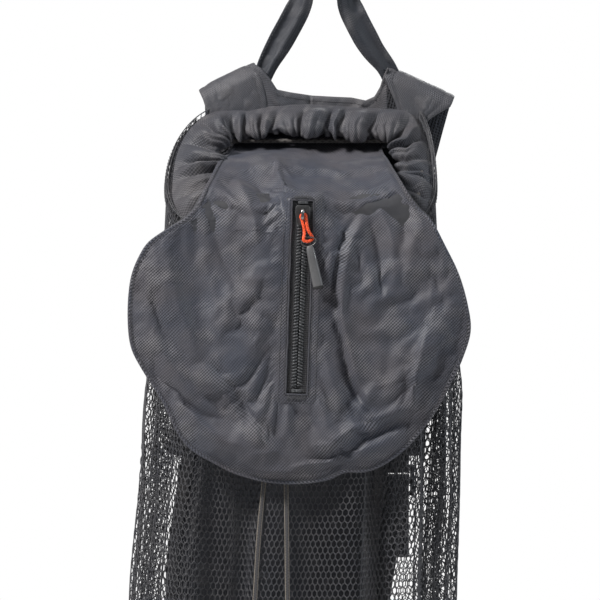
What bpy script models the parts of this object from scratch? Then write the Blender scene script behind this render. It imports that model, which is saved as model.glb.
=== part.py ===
"""Mesh ball bag worn as a backpack, hanging by its haul loop with its zipped pocket pulled out of the mouth.

Metres, +Z up. The origin is where the hook carries the haul loop. The front faces -Y, the wearer's
side faces +Y. The net is open between the gathered collar and the oval base.
"""

import math

import bmesh
import bpy
from mathutils import Vector

# Driving dimensions
CLEAR = 0.0004
FABRIC = 0.0010
BASE_Z = -0.622
BASE_THICK = 0.0025
BACK_THICK = 0.003
YOKE_FOOT_Z = -0.150
YOKE_SEAM_X = -0.0136
LOOP_WIDTH = 0.020
LOOP_THICK = 0.0024
NET_THICK = 0.0012
ROUNDNESS = 0.77
SEAM_SIDE_Z = -0.179
SEAM_TILT = 0.057
NET_SEAM_GAP = 0.0014
CORD_RADIUS = 0.0018
HEM_RADIUS = 0.0035
STRAP_SHELL = 0.0045
STRAP_LINING = 0.003
STRAP_FOLD = 0.008
STRAP_SLOPE = math.radians(24)
STRAP_MIRROR_X = -0.007
WEBBING_WIDTH = 0.025
WEBBING_THICK = 0.0008
FLAP_FRONT_Y = -0.1205
FLAP_BACK_Y = -0.1093
FLAP_SHEET = 0.0012
FLAP_RADIUS = 0.136
FLAP_CENTRE_X = -0.021
FLAP_CENTRE_Z = -0.283
FLAP_TOP_Z = -0.187
NECK_Y = -0.031
NECK_Z = -0.155
ZIP_TOP = (-0.0192, 0.0, -0.196)
ZIP_LEAN = math.radians(2)
ZIP_LENGTH = 0.147
COIL_INNER = 0.0006
COIL_OUTER = 0.0045
WINDOW_HALF = 0.0085
PULL_LEAN = math.radians(-12)
PULL_Y = -0.1248
PULL_TOP_Z = -0.008
RING_DROP = 0.0184
RING_HALF_WIDTH = 0.0058
RING_HALF_HEIGHT = 0.0036
GRIP_RADIUS = 0.0032
LOCK_CENTRE = (-0.038, -0.1035, -0.254)
PLUNGER_TRAVEL = 0.003

# Body of the net: height, middle, half width, depth
BODY_ROWS = [
    (-0.120, -0.017, 0.100, 0.094),
    (-0.175, -0.021, 0.107, 0.094),
    (-0.236, -0.021, 0.110, 0.094),
    (-0.340, -0.018, 0.124, 0.097),
    (-0.420, -0.022, 0.127, 0.100),
    (-0.500, -0.028, 0.129, 0.109),
    (-0.560, -0.029, 0.130, 0.114),
    (-0.620, -0.027, 0.126, 0.118),
]
# Edges of the back panel: height, left, right
BACK_ROWS = [
    (-0.120, -0.062, 0.062),
    (-0.150, -0.066, 0.060),
    (-0.200, -0.090, 0.064),
    (-0.376, -0.112, 0.052),
    (-0.480, -0.128, 0.038),
    (-0.620, -0.130, 0.040),
]
# Collar sections: start and end of the turn round the mouth, and its steps
COLLAR_TURNS = {
    "collar_right": (-90.0, 45.0, 12),
    "collar_front_right": (45.0, 88.9, 5),
    "collar_front_left": (94.2, 135.0, 5),
    "collar_left": (135.0, 270.0, 12),
}
REAR_STEPS = 8


def finish_of(name, colour, roughness, metallic=0.0):
    finish = bpy.data.materials.new(name)
    finish.use_nodes = True
    shader = finish.node_tree.nodes["Principled BSDF"]
    shader.inputs["Base Color"].default_value = (*colour, 1.0)
    shader.inputs["Roughness"].default_value = roughness
    shader.inputs["Metallic"].default_value = metallic
    return finish


def add_piece(name, bm, finish):
    mesh = bpy.data.meshes.new(name)
    bm.to_mesh(mesh)
    bm.free()
    mesh.materials.append(finish)
    piece = bpy.data.objects.new(name, mesh)
    bpy.context.scene.collection.objects.link(piece)
    return piece


def signed_power(value, power=ROUNDNESS):
    return math.copysign(abs(value) ** power, value)


def read_rows(rows, z):
    """The row's values at height z, in straight lines between the rows."""
    if z >= rows[0][0]:
        return rows[0][1:]
    for above, below in zip(rows, rows[1:]):
        if z >= below[0]:
            share = (above[0] - z) / (above[0] - below[0])
            return [a + (b - a) * share for a, b in zip(above[1:], below[1:])]
    return rows[-1][1:]


def round_the_bag(turn, middle, half, edges, y_side, y_front, y_rear):
    """A place round the bag: -90 and 270 are the back panel's edges, 0 right, 90 front, 180 left."""
    along, across = signed_power(math.cos(math.radians(turn))), signed_power(math.sin(math.radians(turn)))
    if 0 <= turn <= 180:
        return middle + half * along, y_side + (y_front - y_side) * across
    side = 1 if turn < 0 else -1
    edge = edges[1] if side > 0 else edges[0]
    x = edge + (middle + side * half - edge) * abs(along)
    return x, y_side + (y_rear - y_side) * abs(across)


def body_point(turn, z, grow=0.0):
    middle, half, depth = read_rows(BODY_ROWS, z)
    edges = read_rows(BACK_ROWS, z)
    y_rear = grow - 0.0016
    x, y = round_the_bag(turn, middle, half + grow, edges, -depth / 2, -depth - grow, y_rear)
    return Vector((x, y, z))


def seam_point(turn):
    """The seam where the collar meets the net."""
    z = SEAM_SIDE_Z - SEAM_TILT * signed_power(math.sin(math.radians(turn)))
    return body_point(turn, z)


def cord_point(turn):
    """The middle of the drawcord in the collar's channel."""
    x, y = round_the_bag(turn, -0.014, 0.090, (-0.066, 0.048), -0.054, -0.092, -0.020)
    z = -0.176 - 0.032 * signed_power(math.sin(math.radians(turn)))
    return Vector((x, y, z))


def sheet(name, u_steps, v_steps, place, thickness, finish):
    """A curved sheet through place(u, v), with u and v from 0 to 1, of an even thickness."""
    bm = bmesh.new()
    bmesh.ops.create_grid(bm, x_segments=u_steps, y_segments=v_steps, size=0.5)
    for vert in bm.verts:
        vert.co = place(vert.co.x + 0.5, vert.co.y + 0.5)
    piece = add_piece(name, bm, finish)
    solid = piece.modifiers.new("thickness", "SOLIDIFY")
    solid.thickness = thickness
    solid.offset = 0.0
    return piece


def plate(name, outline, y_front, thickness, finish):
    """A flat plate that faces -Y, from its outline of (x, z) points."""
    bm = bmesh.new()
    face = bm.faces.new([bm.verts.new((x, y_front, z)) for x, z in outline])
    grown = bmesh.ops.extrude_face_region(bm, geom=[face])
    moved = [item for item in grown["geom"] if isinstance(item, bmesh.types.BMVert)]
    bmesh.ops.translate(bm, vec=(0.0, thickness, 0.0), verts=moved)
    bmesh.ops.recalc_face_normals(bm, faces=bm.faces)
    return add_piece(name, bm, finish)


def block(name, low, high, finish, round_by=0.0):
    """A box between two corners, with its edges rounded by round_by."""
    bm = bmesh.new()
    bmesh.ops.create_cube(bm, size=1.0)
    size = [b - a for a, b in zip(low, high)]
    middle = [(a + b) / 2 for a, b in zip(low, high)]
    bmesh.ops.scale(bm, vec=size, verts=bm.verts)
    bmesh.ops.translate(bm, vec=middle, verts=bm.verts)
    piece = add_piece(name, bm, finish)
    if round_by:
        edge = piece.modifiers.new("rounded", "BEVEL")
        edge.width = round_by
        edge.segments = 2
    return piece


def tube(name, points, radius, finish, closed=False):
    curve = bpy.data.curves.new(name, "CURVE")
    curve.dimensions = "3D"
    curve.bevel_depth = radius
    curve.bevel_resolution = 2
    curve.use_fill_caps = not closed
    curve.render_resolution_u = 0
    spline = curve.splines.new("POLY")
    spline.points.add(len(points) - 1)
    for place, point in zip(spline.points, points):
        place.co = (*point, 1.0)
    spline.use_cyclic_u = closed
    curve.materials.append(finish)
    piece = bpy.data.objects.new(name, curve)
    bpy.context.scene.collection.objects.link(piece)
    return piece


def smooth_route(points, spacing):
    """Places along the smooth curve through the points, about one spacing apart."""
    route = [Vector(point) for point in points]
    ends = [route[0] * 2 - route[1]] + route + [route[-1] * 2 - route[-2]]
    places = []
    for k in range(len(route) - 1):
        before, start, stop, after = ends[k : k + 4]
        count = max(1, round((stop - start).length / spacing))
        for step in range(count):
            t = step / count
            places.append(
                0.5
                * (
                    2 * start
                    + (stop - before) * t
                    + (2 * before - 5 * start + 4 * stop - after) * t**2
                    + (3 * start - before - 3 * stop + after) * t**3
                )
            )
    return places + [route[-1]]


def combine(piece, other, operation):
    """Joins other to the piece, or cuts it out of it. The other object stays as a guide."""
    step = piece.modifiers.new(operation.lower(), "BOOLEAN")
    step.operation = operation
    step.solver = "EXACT"
    step.object = other
    other.hide_render = True
    other.display_type = "WIRE"


def holder(name, place, lean):
    """An empty that carries pieces leaned in the plane of the front."""
    empty = bpy.data.objects.new(name, None)
    empty.location = place
    empty.rotation_euler = (0.0, lean, 0.0)
    bpy.context.scene.collection.objects.link(empty)
    return empty


# The shoulder side


def make_haul_loop(fabric):
    route = smooth_route(
        [
            (-0.0465, -0.0017, -0.0920),
            (-0.0380, -0.0019, -0.0680),
            (-0.0270, -0.0012, -0.0460),
            (-0.0140, 0.0, -0.0200),
            (0.0, 0.0, LOOP_THICK / 2),
            (0.0115, 0.0, -0.0200),
            (0.0210, -0.0012, -0.0460),
            (0.0320, -0.0019, -0.0680),
            (0.0425, -0.0017, -0.0860),
        ],
        0.012,
    )
    last = len(route) - 1

    def place(u, v):
        step = round(u * last)
        ahead = route[min(step + 1, last)] - route[max(step - 1, 0)]
        height = route[step].z
        turned = min(1.0, max(0.0, (height + 0.052) / 0.045)) * math.pi / 2
        flat = ahead.cross(Vector((0, 1, 0))).normalized()
        across = flat * math.cos(turned) + Vector((0, 1, 0)) * math.sin(turned)
        return route[step] + across * LOOP_WIDTH * (v - 0.5)

    sheet("haul_loop", last, 2, place, LOOP_THICK, fabric)


def make_yoke(fabric):
    left = [
        (YOKE_SEAM_X - CLEAR / 2, -0.1070),
        (-0.0400, -0.1030),
        (-0.0570, -0.0830),
        (-0.0480, -0.0990),
        (-0.0480, -0.1210),
        (-0.0640, YOKE_FOOT_Z),
        (YOKE_SEAM_X - CLEAR / 2, YOKE_FOOT_Z),
    ]
    right = [
        (YOKE_SEAM_X + CLEAR / 2, YOKE_FOOT_Z),
        (0.0580, YOKE_FOOT_Z),
        (0.0570, -0.1300),
        (0.0492, -0.0980),
        (0.0480, -0.0840),
        (0.0445, -0.0930),
        (0.0380, -0.1080),
        (0.0300, -0.1110),
        (YOKE_SEAM_X + CLEAR / 2, -0.1070),
    ]
    plate("yoke_left", left, 0.0, BACK_THICK, fabric)
    plate("yoke_right", right, 0.0, BACK_THICK, fabric)


def make_back_panel(fabric, tape):
    top = YOKE_FOOT_Z - CLEAR
    foot = BASE_Z + BASE_THICK + CLEAR
    heights = [top, *(row[0] for row in BACK_ROWS[2:5]), foot]
    left = [(read_rows(BACK_ROWS, z)[0], z) for z in heights]
    right = [(read_rows(BACK_ROWS, z)[1], z) for z in heights]
    plate("back_panel", left + right[::-1], 0.0, BACK_THICK, fabric)
    tape_width = 0.010
    binding_heights = [top, *heights[1:4], -0.572]
    for side, column in (("left", 0), ("right", 1)):
        inward = tape_width if side == "left" else -tape_width
        outer = [(read_rows(BACK_ROWS, z)[column], z) for z in binding_heights]
        inner = [(x + inward, z) for x, z in outer]
        plate(f"side_binding_{side}", outer + inner[::-1], BACK_THICK + CLEAR, FABRIC, tape)


def lean_of(z):
    """How far the back of the bag hangs to the left at height z."""
    return -0.040 * max(0.0, YOKE_FOOT_Z - z) / 0.472


def strap_stations():
    """The right strap from its front foot over the fold to its lower end: inner, outer, y and pitch."""
    up = Vector((math.sin(STRAP_SLOPE), math.cos(STRAP_SLOPE)))
    inner_pivot, outer_pivot = Vector((0.0505, -0.0970)), Vector((0.0981, -0.1188))
    stations = [(Vector((0.0560, -0.1080)), Vector((0.0880, -0.1215)), 0.0, 0.0)]
    for pitch in range(0, 181, 30):
        swing = math.radians(pitch)
        rise = up * STRAP_FOLD * math.sin(swing)
        y = STRAP_FOLD * (1 - math.cos(swing))
        stations.append((inner_pivot + rise, outer_pivot + rise, y, swing))
    back = [
        ((0.036, -0.130), (0.090, -0.150)),
        ((0.028, -0.170), (0.085, -0.182)),
        ((0.027, -0.230), (0.084, -0.232)),
        ((0.034, -0.300), (0.090, -0.296)),
        ((0.045, -0.365), (0.098, -0.358)),
        ((0.050, -0.401), (0.100, -0.397)),
    ]
    for inner, outer in back:
        stations.append((Vector(inner), Vector(outer), STRAP_FOLD * 2, math.pi))
    return stations


def make_strap(side, shell_finish, lining_finish):
    stations = strap_stations()
    last = len(stations) - 1
    up = Vector((math.sin(STRAP_SLOPE), 0.0, math.cos(STRAP_SLOPE)))

    def place_at(offset):
        def place(u, v):
            inner, outer, y, pitch = stations[round(v * last)]
            flat = inner.lerp(outer, u)
            outward = Vector((0, -1, 0)) * math.cos(pitch) + up * math.sin(pitch)
            point = Vector((flat.x, y, flat.y)) + outward * offset
            if side == "left":
                point.x = STRAP_MIRROR_X - point.x
            point.x += lean_of(point.z)
            return point

        return place

    shell_at = STRAP_SHELL / 2 + 0.00015
    lining_at = -STRAP_LINING / 2 - 0.00015
    sheet(f"strap_{side}", 2, last, place_at(shell_at), STRAP_SHELL, shell_finish)
    sheet(f"strap_lining_{side}", 2, last, place_at(lining_at), STRAP_LINING, lining_finish)


def ribbon(name, route, width, thickness, finish, across=(1, 0, 0)):
    """A flat tape along the route, flat across the given direction."""
    last = len(route) - 1
    span = Vector(across) * width

    def place(u, v):
        return Vector(route[round(v * last)]) + span * (u - 0.5)

    return sheet(name, 1, last, place, thickness, finish)


def make_ladder_lock(side, middle_x, plastic):
    """A flat buckle of three bars between two side rails."""
    columns = [-0.017, -0.0135, 0.0135, 0.017]
    rows = [-0.430, -0.426, -0.420, -0.416, -0.408, -0.4045]
    windows = [1, 3]
    bm = bmesh.new()
    bmesh.ops.create_grid(bm, x_segments=3, y_segments=5, size=0.5)
    holes = []
    for face in bm.faces:
        centre = face.calc_center_median()
        column = round((centre.x + 0.5) * 3 - 0.5)
        row = round((centre.y + 0.5) * 5 - 0.5)
        if column == 1 and row in windows:
            holes.append(face)
    bmesh.ops.delete(bm, geom=holes, context="FACES")
    for vert in bm.verts:
        column, row = round((vert.co.x + 0.5) * 3), round((vert.co.y + 0.5) * 5)
        vert.co = (middle_x + columns[column], 0.016, rows[row])
    piece = add_piece(f"ladder_lock_{side}", bm, plastic)
    solid = piece.modifiers.new("thickness", "SOLIDIFY")
    solid.thickness = 0.004
    solid.offset = 0.0


def make_strap_end(side, fabric, webbing, plastic):
    """The webbing from the strap's lower end to the corner of the base."""
    stations = strap_stations()
    middle = (stations[-1][0].x + stations[-1][1].x) / 2
    top_x = (middle if side == "right" else STRAP_MIRROR_X - middle) + lean_of(-0.401)
    column = 1 if side == "right" else 0
    inward = -0.014 if side == "right" else 0.014
    foot_x = read_rows(BACK_ROWS, -0.598)[column] + inward
    keeper = [
        (top_x, 0.0126, -0.4018),
        (top_x, 0.0126, -0.4085),
        (top_x, 0.0140, -0.4105),
        (top_x, 0.0160, -0.4110),
        (top_x, 0.0180, -0.4105),
        (top_x, 0.0194, -0.4085),
        (top_x, 0.0194, -0.4018),
    ]
    ribbon(f"strap_keeper_{side}", keeper, WEBBING_WIDTH, WEBBING_THICK, webbing)
    make_ladder_lock(side, top_x, plastic)
    lower = [
        (top_x, 0.0196, -0.4800),
        (top_x, 0.0192, -0.4180),
        (top_x, 0.0180, -0.4150),
        (top_x, 0.0160, -0.4142),
        (top_x, 0.0140, -0.4150),
        (top_x, 0.0128, -0.4180),
        (top_x + (foot_x - top_x) * 0.30, 0.0120, -0.4700),
        (top_x + (foot_x - top_x) * 0.80, 0.0085, -0.5600),
        (foot_x, 0.0066, -0.5980),
    ]
    ribbon(f"strap_webbing_{side}", lower, WEBBING_WIDTH, WEBBING_THICK, webbing)
    tab_half = 0.0135
    tab = [
        (foot_x - tab_half, -0.5740),
        (foot_x - tab_half, -0.6020),
        (foot_x + tab_half, -0.6020),
        (foot_x + tab_half, -0.5740),
    ]
    plate(f"anchor_tab_{side}", tab, BACK_THICK + CLEAR, 0.002, fabric)


# The net and its base


def make_net(name, start, stop, steps, net):
    foot = BASE_Z + BASE_THICK + 2 * CLEAR
    margin = 0.25

    def place(u, v):
        turn = start + margin + (stop - start - 2 * margin) * u
        top = seam_point(turn).z - NET_SEAM_GAP
        return body_point(turn, top + (foot - top) * v)

    sheet(name, steps, 8, place, NET_THICK, net)


def make_base(fabric, tape):
    turns = [-90 + 360 * k / 24 for k in range(25)]
    rim = [body_point(turn, -0.620, -0.002) for turn in turns]
    rear = BACK_THICK
    bm = bmesh.new()
    corners = [(point.x, point.y) for point in rim]
    corners = [(rim[0].x, rear), *corners, (rim[-1].x, rear)]
    face = bm.faces.new([bm.verts.new((x, y, BASE_Z)) for x, y in corners])
    grown = bmesh.ops.extrude_face_region(bm, geom=[face])
    moved = [item for item in grown["geom"] if isinstance(item, bmesh.types.BMVert)]
    bmesh.ops.translate(bm, vec=(0.0, 0.0, BASE_THICK), verts=moved)
    bmesh.ops.recalc_face_normals(bm, faces=bm.faces)
    add_piece("base_panel", bm, fabric)

    def place(u, v):
        z = -0.6214 + 0.014 * v
        return body_point(-76 + 332 * u, z, 0.0022)

    sheet("base_binding", 24, 1, place, FABRIC, tape)


# The collar and its drawcord


def collar_profile(seam, cord, ahead, v):
    """The collar's section: up from the seam, over the drawcord and back under it."""
    outward = (seam - cord).normalized()
    above = ahead.normalized().cross(outward).normalized()
    outward = above.cross(ahead.normalized()).normalized()
    shapes = [
        seam,
        seam.lerp(cord, 0.5) + above * 0.004,
        cord + above * HEM_RADIUS + outward * 0.001,
        cord + (above - outward) * HEM_RADIUS * 0.72,
        cord - outward * HEM_RADIUS,
        cord - (above + outward) * HEM_RADIUS * 0.72,
        cord - above * HEM_RADIUS,
    ]
    return shapes[round(v * (len(shapes) - 1))]


def make_collar(fabric):
    margin = 0.3
    for name, (start, stop, steps) in COLLAR_TURNS.items():

        def place(u, v, start=start, stop=stop):
            turn = start + margin + (stop - start - 2 * margin) * u
            ahead = cord_point(min(270, turn + 1)) - cord_point(max(-90, turn - 1))
            return collar_profile(seam_point(turn), cord_point(turn), ahead, v)

        sheet(name, steps, 6, place, FABRIC, fabric)

    def place_rear(u, v):
        share = 0.004 + 0.992 * u
        seam = seam_point(270).lerp(seam_point(-90), share)
        cord = cord_point(270).lerp(cord_point(-90), share)
        return collar_profile(seam, cord, cord_point(-90) - cord_point(270), v)

    sheet("collar_rear", REAR_STEPS, 6, place_rear, FABRIC, fabric)


def make_drawcord(cord):
    """The cord round the channel, out of the gap at the front and down to the cord lock."""
    x, y, z = LOCK_CENTRE
    top = z + 0.0085
    spread = 0.0021
    inside = []
    for name in ("collar_front_left", "collar_left"):
        start, stop, steps = COLLAR_TURNS[name]
        inside += [cord_point(start + (stop - start) * k / steps) for k in range(steps + (name == "collar_left"))]
    inside += [cord_point(270).lerp(cord_point(-90), k / REAR_STEPS) for k in range(1, REAR_STEPS)]
    for name in ("collar_right", "collar_front_right"):
        start, stop, steps = COLLAR_TURNS[name]
        last = steps + (name == "collar_front_right")
        inside += [cord_point(start + (stop - start) * k / steps) for k in range(last)]
    left = smooth_route(
        [
            (x - spread, y, top), (x + 0.001, -0.1028, -0.236), (-0.0250, -0.1010, -0.2180),
            (-0.0235, -0.0968, -0.2095),
        ],
        0.006,
    )
    right = smooth_route(
        [
            (-0.0120, -0.0968, -0.2095), (-0.0170, -0.1010, -0.2180), (x + 0.0065, -0.1028, -0.236),
            (x + spread, y, top),
        ],
        0.006,
    )
    tube("drawcord", left + inside + right, CORD_RADIUS, cord)


def make_cord_lock(plastic, steel):
    x, y, z = LOCK_CENTRE
    low = (x - 0.0125, y - 0.0045, z - 0.008)
    high = (x + 0.0110, y + 0.0045, z + 0.008)
    body = block("cord_lock_body", low, high, plastic)
    passage = block("lock_passage", (x - 0.0046, y - 0.0026, z - 0.02), (x + 0.0046, y + 0.0026, z + 0.02), plastic)
    bore = block("lock_bore", (x - 0.0110, y - 0.0034, z - 0.0039), (x + 0.02, y + 0.0034, z + 0.0039), plastic)
    combine(body, bore, "DIFFERENCE")
    combine(body, passage, "DIFFERENCE")
    low = (x - 0.0063, y - 0.0030, z - 0.0035)
    high = (x + 0.0150, y + 0.0030, z + 0.0035)
    plunger = block("cord_lock_plunger", low, high, plastic)
    eye_low = (x - 0.0044, y - 0.0024, z - 0.02)
    eye_high = (x + 0.0044 + PLUNGER_TRAVEL, y + 0.0024, z + 0.02)
    combine(plunger, block("plunger_eye", eye_low, eye_high, plastic), "DIFFERENCE")
    turns, length, per_turn = 3, 0.0036, 10
    coil = []
    for k in range(turns * per_turn + 1):
        angle = 2 * math.pi * k / per_turn
        along = x - 0.0105 + length * k / (turns * per_turn)
        coil.append((along, y + 0.0021 * math.cos(angle), z + 0.0021 * math.sin(angle)))
    tube("cord_lock_spring", coil, 0.0003, steel)


def make_tails(cord):
    x, y, z = LOCK_CENTRE
    top = z - 0.0085
    left = [
        (x - 0.0021, y, top),
        (x - 0.0021, y, -0.300),
        (-0.0450, -0.1040, -0.360),
        (-0.0504, -0.1050, -0.417),
        (-0.0545, -0.1095, -0.460),
        (-0.0570, -0.1138, -0.500),
        (-0.0600, -0.1176, -0.550),
        (-0.0615, -0.1195, -0.590),
    ]
    right = [
        (x + 0.0021, y, top),
        (x + 0.0021, y, -0.300),
        (-0.0340, -0.1040, -0.360),
        (-0.0328, -0.1050, -0.417),
        (-0.0322, -0.1095, -0.460),
        (-0.0318, -0.1138, -0.500),
        (-0.0310, -0.1176, -0.550),
        (-0.0308, -0.1195, -0.590),
    ]
    for side, route in (("left", left), ("right", right)):
        tube(f"drawcord_tail_{side}", smooth_route(route, 0.009), CORD_RADIUS, cord)
        bm = bmesh.new()
        bmesh.ops.create_uvsphere(bm, u_segments=10, v_segments=7, radius=0.0036)
        bmesh.ops.translate(bm, vec=(route[-1][0], route[-1][1] - 0.0008, -0.5942), verts=bm.verts)
        add_piece(f"cord_end_{side}", bm, cord)


# The pocket flap and its zip


def flap_outline(grow=0.0):
    """A round flap with sloping shoulders up to the fold over the mouth."""
    left = [(-0.1000, FLAP_TOP_Z), (-0.1080, -0.2000), (-0.1300, -0.2160)]
    right = [(0.0900, -0.2220), (0.0820, -0.2050), (0.0720, FLAP_TOP_Z)]
    start, stop, steps = math.radians(162), math.radians(378), 26
    arc = []
    for k in range(steps + 1):
        angle = start + (stop - start) * k / steps
        x = FLAP_CENTRE_X + (FLAP_RADIUS + grow) * math.cos(angle)
        arc.append((x, FLAP_CENTRE_Z + (FLAP_RADIUS + grow) * math.sin(angle)))
    if grow:
        left = [(x - grow, z) for x, z in left]
        right = [(x + grow, z) for x, z in right]
    return left + arc + right


def make_flap(fabric, lining, tape, empty):
    front = plate("flap_front", flap_outline(), FLAP_FRONT_Y, FLAP_SHEET, fabric)
    window = block(
        "zip_window",
        (-WINDOW_HALF, FLAP_FRONT_Y - 0.01, -ZIP_LENGTH - 0.0045),
        (WINDOW_HALF, FLAP_FRONT_Y + 0.006, 0.0035),
        fabric,
    )
    window.parent = empty
    combine(front, window, "DIFFERENCE")
    plate("flap_back", flap_outline(), FLAP_BACK_Y - FLAP_SHEET, FLAP_SHEET, lining)
    rim = flap_outline(-0.0012)
    last = len(rim) - 1
    front_y, back_y = FLAP_FRONT_Y + FLAP_SHEET + CLEAR, FLAP_BACK_Y - FLAP_SHEET - CLEAR

    def place_rim(u, v):
        x, z = rim[round(u * last)]
        return Vector((x, front_y + (back_y - front_y) * v, z))

    sheet("flap_binding", last, 1, place_rim, FABRIC, tape)
    header = [(-0.0950, -0.1875), (-0.0950, -0.1905), (0.0680, -0.1905), (0.0680, -0.1875)]
    header_y = FLAP_FRONT_Y + FLAP_SHEET + 0.0020
    plate("flap_header", header, header_y, back_y - header_y, tape)


def make_neck(fabric):
    """The cloth from inside the mouth to the fold over its front rim."""
    rows = [(NECK_Y, NECK_Z, 0.058), (-0.054, -0.161, 0.068), (-0.078, -0.172, 0.080), (-0.1012, -0.183, 0.086)]
    last = len(rows) - 1

    def place(u, v):
        y, z, half = rows[round(v * last)]
        return Vector((-0.014 + half * (2 * u - 1), y, z))

    sheet("flap_neck", 4, last, place, FABRIC, fabric)
    root = [(-0.0014, -0.172), (-0.012, -0.160), (-0.0295, -0.1545)]

    def place_root(u, v):
        y, z = root[round(v * 2)]
        return Vector((-0.010 + 0.054 * (2 * u - 1), y, z))

    sheet("flap_root", 2, 2, place_root, FABRIC, fabric)


def make_zip(tape, coil, empty):
    tape_y = FLAP_FRONT_Y + FLAP_SHEET + CLEAR
    coil_front = tape_y - CLEAR - 0.0020
    for side, sign in (("left", -1), ("right", 1)):
        across = sorted((sign * COIL_INNER, sign * 0.013))
        low = (across[0], tape_y, -ZIP_LENGTH - 0.006)
        high = (across[1], tape_y + 0.0008, 0.005)
        block(f"zip_tape_{side}", low, high, tape).parent = empty
        across = sorted((sign * COIL_INNER, sign * COIL_OUTER))
        low = (across[0], coil_front, -ZIP_LENGTH)
        high = (across[1], tape_y - CLEAR, 0.0)
        block(f"zip_coil_{side}", low, high, coil, 0.0004).parent = empty
    for name, top in (("zip_top_stop", 0.0030), ("zip_bottom_stop", -ZIP_LENGTH - CLEAR)):
        low = (-COIL_OUTER, coil_front, top - 0.0024)
        high = (COIL_OUTER, tape_y - CLEAR, top)
        block(name, low, high, coil, 0.0004).parent = empty
    return coil_front


def make_slider(metal, coil_front, empty):
    tape_back = FLAP_FRONT_Y + FLAP_SHEET + CLEAR + 0.0008
    face_back = coil_front - 0.0003
    face_front = face_back - 0.0016
    slider = block("zip_slider", (-0.006, face_front, -0.0160), (0.006, face_back, -0.0005), metal)
    post = block("slider_post", (-0.0003, face_back - 0.0005, -0.0100), (0.0003, tape_back + 0.0006, -0.0030), metal)
    foot = block("slider_foot", (-0.005, tape_back + 0.0004, -0.0140), (0.005, tape_back + 0.0016, -0.0020), metal)
    bridge_front = PULL_Y - 0.0030
    bridge = block("slider_bridge", (-0.0008, bridge_front, -0.0118), (0.0008, face_front + 0.0005, -0.0042), metal)
    eye = block("slider_eye", (-0.01, PULL_Y - 0.0017, -0.0100), (0.01, PULL_Y + 0.0017, -0.0060), metal)
    combine(bridge, eye, "DIFFERENCE")
    for other in (post, foot, bridge):
        combine(slider, other, "UNION")
    for piece in (slider, post, foot, bridge, eye):
        piece.parent = empty


def make_pull(cord, wire, grip, empty):
    """The looped cord in the slider's bridge, the ring through its bight and the moulded grip."""
    half, radius = 0.0030, 0.0010
    front, rear = PULL_Y - 0.0023, PULL_Y + 0.0021
    loop = [
        (-0.0014, PULL_Y, 0.0),
        (0.0014, PULL_Y, 0.0),
        (half, PULL_Y, -0.0013),
        (half, PULL_Y, -0.0120),
        (half, rear, -0.0165),
        (half - 0.0005, rear, -0.0195),
        (0.0013, PULL_Y + 0.0008, -0.0214),
        (-0.0013, PULL_Y - 0.0010, -0.0214),
        (-half + 0.0005, front, -0.0195),
        (-half, front, -0.0165),
        (-half, PULL_Y, -0.0120),
        (-half, PULL_Y, -0.0013),
    ]
    tube("pull_cord", loop, radius, cord, closed=True).parent = empty
    centre = -RING_DROP - RING_HALF_HEIGHT
    ring = []
    for k in range(20):
        angle = 2 * math.pi * k / 20
        x = RING_HALF_WIDTH * math.cos(angle)
        ring.append((x, PULL_Y, centre + RING_HALF_HEIGHT * math.sin(angle)))
    tube("pull_ring", ring, 0.0006, wire, closed=True).parent = empty
    top, foot = -RING_DROP - 2 * RING_HALF_HEIGHT - 0.0011, -0.0605
    bm = bmesh.new()
    bmesh.ops.create_cone(
        bm, cap_ends=True, segments=16, radius1=GRIP_RADIUS, radius2=GRIP_RADIUS * 0.86, depth=top - foot
    )
    bmesh.ops.translate(bm, vec=(0.0, PULL_Y, (top + foot) / 2), verts=bm.verts)
    add_piece("pull_grip", bm, grip).parent = empty


def main():
    for piece in list(bpy.data.objects):
        bpy.data.objects.remove(piece, do_unlink=True)
    twill = finish_of("twill", (0.045, 0.045, 0.052), 0.75)
    lining = finish_of("lining", (0.035, 0.036, 0.042), 0.85)
    tape = finish_of("binding_tape", (0.030, 0.030, 0.034), 0.8)
    net = finish_of("net", (0.014, 0.016, 0.022), 0.6)
    spacer = finish_of("spacer_mesh", (0.022, 0.024, 0.032), 0.9)
    webbing = finish_of("webbing", (0.020, 0.020, 0.024), 0.8)
    cord = finish_of("cord", (0.060, 0.052, 0.045), 0.8)
    plastic = finish_of("black_plastic", (0.012, 0.012, 0.013), 0.4)
    coil = finish_of("zip_coil", (0.020, 0.022, 0.026), 0.35)
    metal = finish_of("dark_metal", (0.050, 0.052, 0.056), 0.35, 0.8)
    steel = finish_of("spring_steel", (0.50, 0.50, 0.52), 0.3, 1.0)
    orange = finish_of("orange_cord", (1.0, 0.10, 0.025), 0.6)
    grey = finish_of("grey_grip", (0.10, 0.10, 0.105), 0.45)

    make_haul_loop(twill)
    make_yoke(twill)
    make_back_panel(twill, tape)
    for side in ("left", "right"):
        make_strap(side, twill, spacer)
        make_strap_end(side, tape, webbing, plastic)
    make_net("mesh_right", -90, 45, 8, net)
    make_net("mesh_front", 45, 135, 8, net)
    make_net("mesh_left", 135, 270, 8, net)
    make_base(twill, tape)
    make_collar(twill)
    make_drawcord(cord)
    make_cord_lock(plastic, steel)
    make_tails(cord)
    make_neck(twill)
    zip_frame = holder("zip_frame", ZIP_TOP, ZIP_LEAN)
    pull_frame = holder("pull_frame", (ZIP_TOP[0], 0.0, ZIP_TOP[2] + PULL_TOP_Z), PULL_LEAN)
    make_flap(twill, lining, tape, zip_frame)
    coil_front = make_zip(tape, coil, zip_frame)
    make_slider(metal, coil_front, zip_frame)
    make_pull(orange, metal, grey, pull_frame)


main()
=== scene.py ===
import math
import random

import bmesh
import bpy
import numpy as np
from mathutils import Matrix, Vector, noise


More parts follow.
